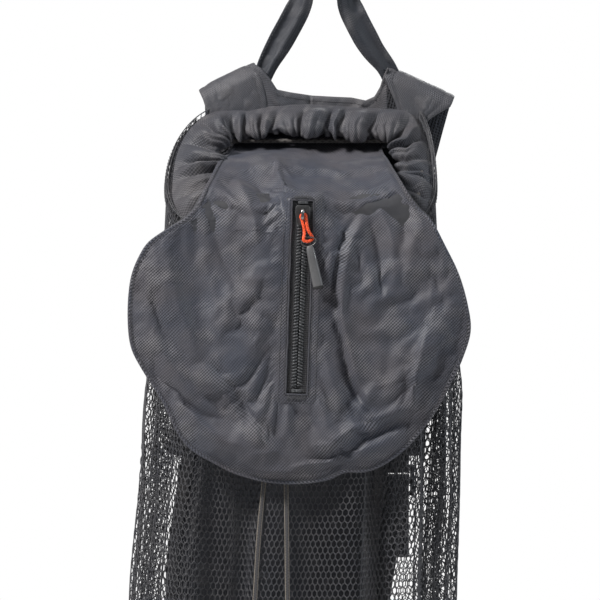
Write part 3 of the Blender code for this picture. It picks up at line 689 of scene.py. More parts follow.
# ---------------------------------------------------------------- camera, light and floor
def set_up_studio():
    camera = bpy.data.objects.new("camera", bpy.data.cameras.new("camera"))
    scene.collection.objects.link(camera)
    camera.location = (-0.0216, -14.0, -0.272)
    camera.rotation_euler = (math.radians(90), 0.0, 0.0)
    camera.data.sensor_width = 36.0
    camera.data.lens = 36.0 * 13.90 / 0.480
    camera.data.clip_end = 60.0
    scene.camera = camera
    for name, place, aim, energy, width, colour in (
        ("key", (-1.35, -0.95, 1.15), (0, -0.1, -0.27), 62.0, 0.38, (1.0, 0.97, 0.95)),
        ("front", (0.3, -3.2, 0.7), (0, 0, -0.27), 2.0, 1.0, (1.0, 0.985, 0.97)),
        ("right_rim", (1.5, -0.45, 0.35), (0, -0.1, -0.27), 10.0, 0.35, (0.92, 0.96, 1.0)),
        ("top", (0.1, -0.35, 1.5), (0, -0.05, -0.2), 5.5, 0.5, (1.0, 0.99, 0.98)),
        ("back_fill", (0.6, 2.3, 0.8), (0, 0, -0.3), 46.0, 1.4, (0.98, 0.99, 1.0)),
    ):
        lamp = bpy.data.lights.new(name, "AREA")
        lamp.energy = energy
        lamp.size = width
        lamp.color = colour
        holder = bpy.data.objects.new(name, lamp)
        holder.location = place
        holder.rotation_euler = (Vector(aim) - Vector(place)).to_track_quat("-Z", "Y").to_euler()
        scene.collection.objects.link(holder)
    world = bpy.data.worlds.new("studio")
    scene.world = world
    world.use_nodes = True
    tree = world.node_tree
    back = tree.nodes["Background"]
    seen = tree.nodes.new("ShaderNodeLightPath")
    back.inputs["Color"].default_value = (1, 1, 1, 1)
    light = mixed(tree, seen.outputs["Is Camera Ray"], (0.86, 0.92, 1.0, 1), (1, 1, 1, 1))
    plug(tree, back.inputs["Color"], light)
    plug(tree, back.inputs["Strength"], spread(tree, seen.outputs["Is Camera Ray"], 0.0, 1.0, 0.06, 1.0))
    scene.view_settings.view_transform = "Standard"
    bm = bmesh.new()
    bmesh.ops.create_grid(bm, x_segments=1, y_segments=1, size=1.6)
    bmesh.ops.translate(bm, vec=(0.0, 0.0, BASE_Z - 0.04), verts=bm.verts)
    paper = make_moulded("floor_paper", (0.80, 0.80, 0.80, 1), (0.86, 0.86, 0.86, 1), rough=0.8, wear=0.0)
    add_piece("floor", bm, paper)


# ---------------------------------------------------------------- drawcord, its tails and the lock
TAIL_ROUTES = {
    "left": [
        (-0.0401, -0.1035, -0.2625), (-0.0401, -0.1035, -0.300), (-0.0450, -0.1040, -0.360),
        (-0.0504, -0.1050, -0.417), (-0.0545, -0.1095, -0.460), (-0.0570, -0.1138, -0.500),
        (-0.0600, -0.1176, -0.550), (-0.0615, -0.1195, -0.590),
    ],
    "right": [
        (-0.0359, -0.1035, -0.2625), (-0.0359, -0.1035, -0.300), (-0.0340, -0.1040, -0.360),
        (-0.0328, -0.1050, -0.417), (-0.0322, -0.1095, -0.460), (-0.0318, -0.1138, -0.500),
        (-0.0310, -0.1176, -0.550), (-0.0308, -0.1195, -0.590),
    ],
}


def make_tails():
    """Each tail is a flat braid with two corded edges, coloured pale as a painted highlight, that ends in an
    overhand knot with a short brush.
    """
    for side, points in TAIL_ROUTES.items():
        route = smooth_route(points, 0.003)
        tail = cord_along(
            f"tail_{side}", route, CORD_WIDTH / 2, CORD_WIDTH / 2 * 0.62, CORD_WITH_PAINTED_EDGES, sides=14, waist=0.34,
            across=(1, 0, 0), body="bag",
        )
        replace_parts(tail, f"drawcord_tail_{side}")
        x, y, z = points[-1][0], points[-1][1], -0.5942
        loops = []
        for k in range(49):
            angle = 2 * math.pi * k / 48
            reach = 0.0016 + 0.0007 * math.cos(3 * angle)
            loops.append((x + reach * math.cos(2 * angle), y + reach * math.sin(2 * angle),
                          z + 0.0013 * math.sin(3 * angle)))
        knot = cord_along(f"knot_{side}", loops[:-1], 0.0013, 0.0013, CHANNEL_CORD, sides=8, closed=True,
                          body="bag")
        brush = cord_along(
            f"brush_{side}", [(x, y, z - 0.0010), (x + 0.0003, y, z - 0.0035)],
            lambda v: 0.0010 + 0.0003 * v, lambda v: 0.0010, CHANNEL_CORD, sides=8, body="bag",
        )
        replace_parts(knot, f"cord_end_{side}")


def make_tail_tops():
    """The cord inside the channel, out of its front gap and down to the lock."""
    x, y, z = -0.038, -0.1035, -0.254
    top = z + 0.0085
    left = [
        (x - 0.0021, y, top), (x + 0.001, -0.1028, -0.236), (-0.0250, -0.1010, -0.2180),
        (-0.0235, -0.0968, -0.2095),
    ]
    right = [
        (-0.0120, -0.0968, -0.2095), (-0.0170, -0.1010, -0.2180), (x + 0.0065, -0.1028, -0.236),
        (x + 0.0021, y, top),
    ]
    inside = [cord_point(turn) for turn in np.linspace(94.2, 270, 60)]
    inside += [cord_point(270).lerp(cord_point(-90), k / 12) for k in range(1, 12)]
    inside += [cord_point(turn) for turn in np.linspace(-90, 88.9, 60)]
    route = smooth_route(left, 0.003) + inside + smooth_route(right, 0.003)
    cord = cord_along(
        "channel_drawcord", route, 0.0018, 0.0018, CHANNEL_CORD, sides=10, body="bag"
    )
    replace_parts(cord, "drawcord")


set_up_studio()
make_tails()
make_tail_tops()


# ---------------------------------------------------------------- net
NET_ROW = 0.0055
NET_CELL = 0.0049
NET_YARN = 0.00098
NET_OVERLAP = 0.009
# Hanging folds in the net: x at the top, x at the foot, half width, height of the fold outwards
NET_FOLDS = [
    (-0.110, -0.118, 0.013, 0.0090),
    (-0.086, -0.096, 0.010, -0.0100),
    (-0.060, -0.076, 0.012, -0.0170),
    (-0.036, -0.052, 0.010, 0.0050),
    (-0.010, -0.016, 0.009, -0.0045),
    (0.018, 0.016, 0.009, 0.0090),
    (0.040, 0.044, 0.010, -0.0120),
    (0.062, 0.066, 0.010, 0.0080),
    (0.084, 0.082, 0.009, -0.0090),
]


def net_point(turn, z):
    """The net's surface: the body with hanging folds in it."""
    point = body_point(turn, z)
    down = (z + 0.20) / -0.42
    loose = eased((-0.235 - z) / 0.12) * eased((z + 0.622) / 0.05)
    push = 0.0
    if 0 < turn < 180:
        for top_x, foot_x, half, height in NET_FOLDS:
            away = (point.x - top_x - (foot_x - top_x) * down) / half
            push += height * math.exp(-away * away)
        push *= math.sin(math.radians(turn)) ** 0.5
    if not 50 < turn < 130:
        push += 0.0030 * math.sin(math.radians(turn) * 17 + 6 * ripple(turn / 90, z, 0.0, 0.25, 4.0))
    push += 0.0035 * ripple(turn / 90, z, 0.0, 0.22, 3.0) + 0.0016 * ripple(turn / 90, z, 0.0, 0.09, 5.0)
    outward = Vector((math.cos(math.radians(turn)) * 0.5, -math.sin(math.radians(turn)), 0.0))
    outward.normalize()
    sway = 0.004 * ripple(turn / 60, z, 0.0, 0.30, 8.0) * math.sin(math.radians(turn))
    return point + outward * push * loose + Vector((sway * loose, 0, 0))


def make_net(name, start, stop, density=1.42, pleat=0.0):
    """One part of the net, or a pleat inside it: knitted hexagons cut from a grid, then thickened."""
    turns = np.linspace(start, stop, 60)
    samples = [body_point(turn, -0.42) for turn in turns]
    reach = np.concatenate([[0.0], np.cumsum([(b - a).length for a, b in zip(samples, samples[1:])])])
    columns = 2 * round(reach[-1] * density / NET_CELL)
    rows = round(0.436 / NET_ROW)
    foot = BASE_Z + 0.0035
    bm = bmesh.new()
    bmesh.ops.create_grid(bm, x_segments=columns, y_segments=rows, size=0.5)
    spot = {vert: (round((vert.co.x + 0.5) * columns), round((vert.co.y + 0.5) * rows)) for vert in bm.verts}
    extra = []
    for edge in bm.edges:
        (a, b), (c, d) = spot[edge.verts[0]], spot[edge.verts[1]]
        if a == c and 0 < a < columns and (a + max(b, d)) % 2:
            extra.append(edge)
    bmesh.ops.dissolve_edges(bm, edges=extra, use_verts=False)
    for vert in bm.verts:
        column, row = spot[vert]
        lift = 0.0
        if 0 < row < rows:
            lift = 0.21 if (column + row) % 2 else -0.21
        u, v = column / columns, (row + lift) / rows
        shear = 0.35 * ripple(u * reach[-1] * 2, v * 0.44, 0.0, 0.10, 2.0 + start) * eased(4 * min(u, 1 - u))
        u = min(1.0, max(0.0, u + shear * 0.022))
        turn = float(np.interp(u * reach[-1], reach, turns))
        seam = seam_point(turn)
        z = seam.z + NET_OVERLAP + (foot - seam.z - NET_OVERLAP) * v
        point = net_point(turn, z)
        outward = Vector((math.cos(math.radians(turn)), -math.sin(math.radians(turn)), 0))
        if pleat:
            hang = eased(v / 0.12) * eased((1 - v) / 0.08) * math.sin(math.pi * u) ** 0.6
            depth = 1.0 + 0.45 * ripple(turn / 30, z, 0.0, 0.13, start)
            depth += 0.25 * math.sin(math.radians(turn) * 23)
            point -= outward * pleat * hang * depth
        else:
            point += outward * 0.0016 * eased((z - seam.z + 0.004) / 0.006)
        vert.co = point
    bmesh.ops.recalc_face_normals(bm, faces=bm.faces)
    net = add_piece(name, bm, NET, "bag")
    yarn = net.modifiers.new("yarn", "WIREFRAME")
    yarn.thickness = NET_YARN
    yarn.use_boundary = True
    yarn.use_replace = True
    yarn.use_even_offset = False
    return net


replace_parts(make_net("net_right", -90.0, 45.0), "mesh_right")
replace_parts(make_net("net_front", 45.0, 135.0, density=1.22), "mesh_front")
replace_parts(make_net("net_left", 135.0, 270.0), "mesh_left")
make_net("net_pleat_right", -58.0, 40.0, density=1.35, pleat=0.012)
make_net("net_pleat_left", 140.0, 226.0, density=1.35, pleat=0.013)
make_net("net_pleat_front_left", 98.0, 152.0, density=1.5, pleat=0.010)
make_net("net_pleat_front_right", 28.0, 72.0, density=1.5, pleat=0.010)

# ---------------------------------------------------------------- collar
def collar_place(turn):
    """The collar's seam and hem at a turn: the hem reaches far in at the sides; the left is higher."""
    seam, hem = seam_point(turn), cord_point(turn)
    side = math.cos(math.radians(turn))
    behind = max(0.0, -math.sin(math.radians(turn)))
    reach = abs(side) ** 1.5 * (0.0125 if side < 0 else 0.0140)
    if not behind:
        reach *= 1 - eased(1.6 - abs(side) * 2)
    hem.x -= math.copysign(reach, side)
    rise = behind ** 0.7 * (0.0040 - 0.0075 * max(side, 0.0) - 0.0045 * min(side, 0.0))
    seam.z += rise
    hem.z += rise + 0.0015 * behind
    return seam, hem


def collar_stations():
    """Places round the mouth from the cord's gap leftwards to its other side: seam and hem."""
    pairs = [collar_place(turn) for turn in np.linspace(94.2, 269.7, 230)]
    left_seam, left_hem = collar_place(270)
    right_seam, right_hem = collar_place(-90)
    for share in np.linspace(0.01, 0.99, 90):
        seam, hem = left_seam.lerp(right_seam, share), left_hem.lerp(right_hem, share)
        bow = math.sin(math.pi * share)
        tilt = math.sin(2 * math.pi * share)
        seam += Vector((0, -0.002 * bow, 0.003 * bow + 0.0012 * tilt))
        hem += Vector((0, -0.003 * bow, 0.0030 * bow + 0.0016 * tilt))
        pairs.append((seam, hem))
    pairs += [collar_place(turn) for turn in np.linspace(-89.7, 88.9, 230)]
    return pairs


def make_collar():
    """The gathered collar: one strip with soft uneven pleats, turned under over the drawcord."""
    pairs = collar_stations()
    middles = [seam.lerp(cord, 0.6) for seam, cord in pairs]
    reach = np.concatenate([[0.0], np.cumsum([(b - a).length for a, b in zip(middles, middles[1:])])])
    total = float(reach[-1])
    count = 620
    wanted = np.linspace(0.0, total, count + 1)
    seams = [Vector([np.interp(s, reach, [pair[0][k] for pair in pairs]) for k in range(3)]) for s in wanted]
    cords = [Vector([np.interp(s, reach, [pair[1][k] for pair in pairs]) for k in range(3)]) for s in wanted]
    draw = random.Random(11)
    creases = [0.0]
    while creases[-1] < total - 0.010:
        creases.append(creases[-1] + draw.uniform(0.0090, 0.0260))
    creases[-1] = total
    heights = [draw.uniform(0.0048, 0.0105) for _ in creases]
    skews = [draw.uniform(-0.0130, 0.0130) for _ in creases]
    rows = 34

    def profile(seam, cord, ahead, v):
        outward = (seam - cord).normalized()
        above = ahead.cross(outward).normalized()
        outward = above.cross(ahead).normalized()
        knots = [
            seam, seam.lerp(cord, 0.35) + above * 0.0045, seam.lerp(cord, 0.7) + above * 0.0055,
            cord + above * HEM_RADIUS + outward * 0.001, cord + (above - outward) * HEM_RADIUS * 0.74,
            cord - outward * HEM_RADIUS, cord - (above + outward) * HEM_RADIUS * 0.74,
            cord - above * HEM_RADIUS,
        ]
        spot = v * (len(knots) - 1)
        k = min(len(knots) - 2, int(spot))
        t = spot - k
        a = knots[k - 1] if k else knots[0] * 2 - knots[1]
        b, c = knots[k], knots[k + 1]
        d = knots[k + 2] if k + 2 < len(knots) else c * 2 - b
        bend, twist = 2 * a - 5 * b + 4 * c - d, 3 * b - a - 3 * c + d
        return 0.5 * (2 * b + (c - a) * t + bend * t**2 + twist * t**3), above, outward

    def place(u, v):
        step = round(u * count)
        s = wanted[step]
        ahead = (cords[min(count, step + 2)] - cords[max(0, step - 2)]).normalized()
        point, above, outward = profile(seams[step], cords[step], ahead, v)
        near = min(len(creases) - 2, max(0, int(np.searchsorted(creases, s)) - 1))
        clear = min(s - creases[near], creases[near + 1] - s)
        slid = s + skews[near] * (v - 0.3) * min(1.0, clear / 0.006 + 0.4)
        slid = min(total - 1e-6, max(0.0, slid + 0.0016 * ripple(s, v * 0.03, 0.0, 0.012, 4.0)))
        k = min(len(creases) - 2, max(0, int(np.searchsorted(creases, slid)) - 1))
        phase = (slid - creases[k]) / (creases[k + 1] - creases[k])
        lean_share = phase ** (0.75 if skews[k] > 0 else 1.35)
        puff = max(0.0, math.sin(math.pi * lean_share)) ** (0.8 if k % 3 else 1.3)
        body = eased((v - 0.03) / 0.26) * (1 - 0.45 * eased((v - 0.50) / 0.45))
        height = (heights[k] * puff - 0.0020) * body
        tight = 0.0021 * abs(math.sin(math.pi * slid / 0.0066 + 3.0 * ripple(s, 0, 0, 0.02, 9.0)))
        height += tight * eased((v - 0.25) / 0.2) * (1 - eased((v - 0.8) / 0.2))
        height += 0.0022 * ripple(s, v * 0.05, 0.0, 0.024, 6.0) * body
        turn_out = eased((v - 0.45) / 0.25)
        way = (above * (1 - turn_out) + (above * 0.35 - outward) * turn_out).normalized()
        scallop = (0.5 - puff) * 0.0032 * eased((v - 0.4) / 0.3)
        loose = 0.0035 * ripple(s, v * 0.02, 0.0, 0.038, 3.0) * eased(v / 0.1) * (1 - eased((v - 0.15) / 0.5))
        return point + way * height + outward * (scallop + loose)

    bm = cloth_grid(count, rows, place, (total, 0.046), facing=(0, -0.2, 1))
    collar = add_piece("collar", bm, COLLAR_TWILL, "bag")
    thicken(collar, 0.0009, offset=-1.0)
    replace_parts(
        collar, "collar_rear", "collar_left", "collar_right", "collar_front_left", "collar_front_right"
    )


make_collar()


# ---------------------------------------------------------------- pocket
# The line of the cloth from inside the mouth, over the rim and down the front: y and z
NECK_LINE = [
    (-0.0085, -0.1390), (-0.0150, -0.1480), (-0.0310, -0.1550), (-0.0540, -0.1600), (-0.0760, -0.1670),
    (-0.0930, -0.1745), (-0.1050, -0.1830), (-0.1128, -0.1930), (-0.1172, -0.2060), (-0.1196, -0.2220),
    (-0.1205, -0.2420), (-0.1205, -0.2680), (-0.1205, -0.3000), (-0.1205, -0.3400), (-0.1205, -0.3850),
    (-0.1205, -0.4300),
]
# The cut's outline on the front, x and z, from the root's left end round the foot to its right end
POCKET_OUTLINE = [
    (-0.0690, -0.1391), (-0.0760, -0.1490), (-0.0860, -0.1600), (-0.0930, -0.1730), (-0.1010, -0.1880),
    (-0.1110, -0.2030), (-0.1260, -0.2135), (-0.1420, -0.2250), (-0.1500, -0.2370), (-0.1560, -0.2520),
    (-0.1585, -0.2690), (-0.1590, -0.2880), (-0.1575, -0.3050), (-0.1535, -0.3170), (-0.1430, -0.3350),
    (-0.1310, -0.3540), (-0.1195, -0.3780), (-0.1085, -0.3915), (-0.0910, -0.4020), (-0.0730, -0.4110),
    (-0.0510, -0.4170), (-0.0280, -0.4190), (-0.0020, -0.4165), (0.0140, -0.4100), (0.0290, -0.4095),
    (0.0430, -0.4050), (0.0590, -0.3940), (0.0720, -0.3810), (0.0880, -0.3590), (0.1000, -0.3360),
    (0.1080, -0.3190), (0.1145, -0.2970), (0.1120, -0.2750), (0.1050, -0.2510), (0.0945, -0.2290),
    (0.0830, -0.2070), (0.0730, -0.1965), (0.0620, -0.1820), (0.0540, -0.1690), (0.0480, -0.1590),
    (0.0440, -0.1500), (0.0410, -0.1391),
]
# Creases pressed into the cloth, in millimetres: points (x, z), half width, height outwards
CREASES = [
    ([(-63, -165), (-52, -176), (-41, -190), (-27, -198)], 8.0, -4.2),
    ([(-41, -160), (-37, -175), (-26, -189)], 5.5, 2.4),
    ([(-95, -190), (-86, -226), (-77, -249), (-69, -264)], 4.0, -1.6),
    ([(-72, -172), (-60, -200), (-54, -232)], 5.0, 2.0),
    ([(-52, -190), (-41, -209), (-35, -226)], 4.0, -1.5),
    ([(-77, -268), (-67, -290), (-52, -310)], 5.0, -2.2),
    ([(-41, -285), (-37, -310)], 3.2, -1.3),
    ([(-112, -322), (-94, -318), (-78, -336), (-65, -358), (-56, -368), (-26, -389)], 3.4, -2.4),
    ([(-104, -330), (-84, -338), (-70, -362), (-60, -374), (-34, -396)], 4.5, 1.9),
    ([(-95, -342), (-78, -360)], 3.4, -1.6),
    ([(-37, -346), (-22, -362), (-8, -375)], 3.0, -1.7),
    ([(-30, -352), (-34, -384)], 4.0, 1.3),
    (
        [(24, -203), (13, -222), (9, -236), (6, -279), (13, -307), (18, -332), (30, -351), (41, -366)],
        2.8, -2.8,
    ),
    ([(31, -205), (19, -226), (15, -240), (13, -279), (20, -306), (25, -330), (37, -350)], 4.5, 2.2),
    ([(-8, -216), (3, -230)], 4.0, -2.2),
    ([(60, -190), (82, -222), (98, -248), (108, -276)], 5.0, 2.6),
    ([(50, -190), (70, -226), (86, -254), (96, -284)], 4.5, -2.0),
    ([(40, -190), (52, -222), (56, -262)], 5.0, 1.8),
    ([(30, -196), (42, -232), (44, -268)], 4.0, -1.4),
    ([(82, -290), (76, -310), (71, -336), (67, -374)], 3.6, 2.6),
    ([(92, -300), (88, -318), (83, -344)], 7.0, -2.6),
    ([(63, -366), (31, -379), (9, -395), (-26, -400)], 6.5, -3.0),
    ([(60, -356), (28, -368), (4, -384), (-14, -388)], 4.0, 2.2),
    ([(-34, -410), (-20, -402), (9, -400), (20, -404)], 2.6, 1.8),
    ([(31, -336), (5, -374)], 4.2, -1.5),
    ([(44, -330), (18, -372)], 4.2, 1.4),
    ([(-128, -250), (-112, -282), (-104, -310)], 6.0, 1.6),
    ([(-140, -262), (-130, -300)], 6.0, -1.4),
    ([(-100, -232), (-90, -262), (-84, -296)], 5.0, 1.5),
    ([(-118, -352), (-96, -372), (-70, -386)], 5.0, 1.6),
    ([(-124, -340), (-100, -360)], 4.0, -1.3),
    ([(-60, -240), (-56, -270), (-48, -296)], 4.0, 1.3),
    ([(52, -290), (50, -320), (44, -340)], 5.0, -1.4),
]
POCKET_ROUND = 288
POCKET_RINGS = 60
HEM_WIDTH = 0.0032


def neck_table():
    """The neck line cut finely: length along the cloth, y and z."""
    fine = smooth_route([(0, y, z) for y, z in NECK_LINE], 0.001)
    reach = [0.0]
    for a, b in zip(fine, fine[1:]):
        reach.append(reach[-1] + (b - a).length)
    return np.array(reach), np.array([place.y for place in fine]), np.array([place.z for place in fine])


NECK_REACH, NECK_Y, NECK_Z = neck_table()


def reach_of(z):
    return float(np.interp(-z, -NECK_Z, NECK_REACH))


def neck_place(s):
    """y, z and the outward direction of the plain cloth at length s."""
    y, z = float(np.interp(s, NECK_REACH, NECK_Y)), float(np.interp(s, NECK_REACH, NECK_Z))
    y2, z2 = float(np.interp(s + 0.002, NECK_REACH, NECK_Y)), float(np.interp(s + 0.002, NECK_REACH, NECK_Z))
    y1, z1 = float(np.interp(s - 0.002, NECK_REACH, NECK_Y)), float(np.interp(s - 0.002, NECK_REACH, NECK_Z))
    along = Vector((0, y2 - y1, z2 - z1)).normalized()
    return y, z, along.cross(Vector((1, 0, 0))).normalized()


def zip_space(x, s):
    """Across and down from the zip's top, along its lean."""
    across, down = x - ZIP_TOP.x, s - ZIP_REACH
    return (across * math.cos(ZIP_LEAN) + down * math.sin(ZIP_LEAN),
            down * math.cos(ZIP_LEAN) - across * math.sin(ZIP_LEAN))


def from_zip_space(across, down):
    x = across * math.cos(ZIP_LEAN) - down * math.sin(ZIP_LEAN)
    s = down * math.cos(ZIP_LEAN) + across * math.sin(ZIP_LEAN)
    return x + ZIP_TOP.x, s + ZIP_REACH


ZIP_REACH = reach_of(ZIP_TOP.z)


def window_distance(across, down, half=WINDOW_HALF, above=0.0035, below=0.0045):
    """How far a place is outside the zip's window."""
    dx = max(0.0, abs(across) - half)
    dz = max(0.0, -above - down, down - ZIP_LENGTH - below)
    return math.hypot(dx, dz)


def window_edge(across, down, half, above, below):
    """Where the way from the zip's middle line out to a place crosses the window's edge."""
    inset = 0.024
    heart = min(ZIP_LENGTH - inset, max(inset, down))
    go_x, go_z = across, down - heart
    reach = 1e9
    if abs(go_x) > 1e-9:
        reach = half / abs(go_x)
    if go_z < -1e-9:
        reach = min(reach, (heart + above) / -go_z)
    if go_z > 1e-9:
        reach = min(reach, (ZIP_LENGTH + below - heart) / go_z)
    return go_x * reach, heart + go_z * reach


def pocket_outline():
    """The outline in cloth space, evenly cut: x and length along the cloth."""
    fine = smooth_route([(x, reach_of(z), 0) for x, z in POCKET_OUTLINE], 0.002)
    fine += [fine[-1].lerp(fine[0], share) for share in np.linspace(0.02, 0.98, 50)]
    return even_route(fine, POCKET_ROUND, closed=True)


def pocket_place(u, v, half, above, below, rim):
    """Cloth-space place of grid (u round, v outwards)."""
    k = round(u * POCKET_ROUND) % POCKET_ROUND
    edge = rim[k]
    across, down = zip_space(edge.x, edge.y)
    in_x, in_z = window_edge(across, down, half, above, below)
    start = Vector(from_zip_space(in_x, in_z))
    stop = Vector((edge.x, edge.y))
    way = stop - start
    length = way.length
    hem_from = max(0.3, 1.0 - 1.25 * HEM_WIDTH / length)
    share = v / 0.94 * hem_from if v < 0.94 else hem_from + (1 - hem_from) * (v - 0.94) / 0.06
    return (start + way * share).to_3d()


def crease_depths(places):
    """The height of the pressed creases at each cloth-space place, in metres."""
    places = np.array(places)
    heights = np.zeros(len(places))
    for points, half, height in CREASES:
        line = smooth_route([(x / 1000, reach_of(z / 1000), 0) for x, z in points], 0.003)
        line = np.array([(place.x, place.y) for place in line])
        apart = np.linalg.norm(places[:, None, :] - line[None, :, :], axis=2)
        nearest = apart.argmin(axis=1)
        share = nearest / (len(line) - 1)
        fade = np.clip(np.minimum(share, 1 - share) / 0.25, 0, 1) ** 0.7 * 0.75 + 0.25
        near = apart.min(axis=1) / (half / 1000)
        heights += height / 1000 * np.exp(-near ** 1.6) * fade
    return heights


def lay_cloth_uv(bm):
    """The weave follows the cut: a face's UV is its place in cloth space."""
    layer = bm.loops.layers.uv["cloth"]
    for face in bm.faces:
        for loop in face.loops:
            loop[layer].uv = (loop.vert.co.x, -loop.vert.co.y)


def make_pocket_front():
    """The pocket's outer cloth and the neck that holds it in the mouth, with the zip's window in it."""
    rim = pocket_outline()

    def place(u, v):
        return pocket_place(u, v, WINDOW_HALF, 0.0035, 0.0045, rim)

    bm = cloth_grid(POCKET_ROUND, POCKET_RINGS, place, (1, 1))
    lay_cloth_uv(bm)
    flat = [(vert.co.x, vert.co.y) for vert in bm.verts]
    creased = crease_depths(flat)
    rim_points = np.array([(place.x, place.y) for place in rim])
    for vert, (x, s), crease in zip(bm.verts, flat, creased):
        across, down = zip_space(x, s)
        off = window_distance(across, down)
        edge = float(np.hypot(rim_points[:, 0] - x, rim_points[:, 1] - s).min())
        y, z, out = neck_place(s)
        calm = eased((off - 0.004) / 0.012)
        root = eased((s - 0.012) / 0.030)
        wave = 0.0052 * ripple(x, s * 0.7, 0.0, 0.058, 1.0) + 0.0022 * ripple(x, s * 0.8, 0.0, 0.026, 2.0)
        wave += 0.0009 * ripple(x, s, 0.0, 0.011, 3.0)
        push = min(0.0095, max(-0.0080, 1.9 * crease + wave)) * calm
        push *= (0.30 + 0.70 * eased(edge / 0.020)) * root
        below_neck = eased((s - 0.105) / 0.02)
        drop = 0.0046 * (1 - eased(edge / 0.026)) * below_neck
        flutter = 0.0022 * ripple(x, s, 0.0, 0.045, 7.0) * (1 - eased(edge / 0.03)) * below_neck
        point = Vector((x, y, z)) + out * (push - drop + flutter)
        if off < 0.010 and s > ZIP_REACH - 0.012:
            point.y += (FLAP_FRONT_Y - point.y) * (1 - eased((off - 0.002) / 0.008))
        vert.co = point
    bmesh.ops.remove_doubles(bm, verts=bm.verts, dist=0.000001)
    bm.normal_update()
    if sum((face.normal.y * face.calc_area() for face in bm.faces)) > 0:
        bmesh.ops.reverse_faces(bm, faces=bm.faces)
    bm.verts.index_update()
    held = []
    for vert in bm.verts:
        s = reach_of(vert.co.z)
        across, down = zip_space(vert.co.x, s)
        near_rim = float(np.hypot(rim_points[:, 0] - vert.co.x, rim_points[:, 1] - s).min())
        if window_distance(across, down) < 0.009 or near_rim < 0.006 or vert.co.y > -0.070:
            held.append(vert.index)
    cloth = add_piece("pocket_front", bm, TWILL, None)
    settle(cloth, held)
    return cloth, rim


def settle(piece, held, frames=20, slack=0.034, cap=0.0055):
    """Lets the slack cloth buckle between its seams with a cloth simulation, and keeps the result."""
    start = [vert.co.copy() for vert in piece.data.vertices]
    group = piece.vertex_groups.new(name="sewn")
    group.add(held, 1.0, "REPLACE")
    cloth = piece.modifiers.new("settle", "CLOTH")
    cloth.settings.quality = 5
    cloth.settings.mass = 0.15
    cloth.settings.air_damping = 4.0
    cloth.settings.tension_stiffness = 18
    cloth.settings.compression_stiffness = 18
    cloth.settings.shear_stiffness = 6
    cloth.settings.bending_stiffness = 0.025
    cloth.settings.tension_damping = 12
    cloth.settings.compression_damping = 12
    cloth.settings.bending_damping = 0.6
    cloth.settings.vertex_group_mass = group.name
    cloth.settings.shrink_min = -slack
    cloth.settings.effector_weights.gravity = 0.15
    cloth.collision_settings.use_collision = False
    cloth.point_cache.frame_start = 1
    cloth.point_cache.frame_end = frames
    for step in range(1, frames + 1):
        scene.frame_set(step)
    ready = piece.evaluated_get(bpy.context.evaluated_depsgraph_get())
    moved = [vert.co.copy() for vert in ready.data.vertices]
    piece.modifiers.remove(cloth)
    piece.vertex_groups.remove(group)
    scene.frame_set(1)
    for vert, before, after in zip(piece.data.vertices, start, moved):
        move = after - before
        if move.length > cap:
            move *= cap / move.length
        vert.co = before + move


def hang_on_fold(piece):
    """Bakes the cloth's placement into its mesh; the cloth keeps the shape it was made in."""
    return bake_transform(piece)


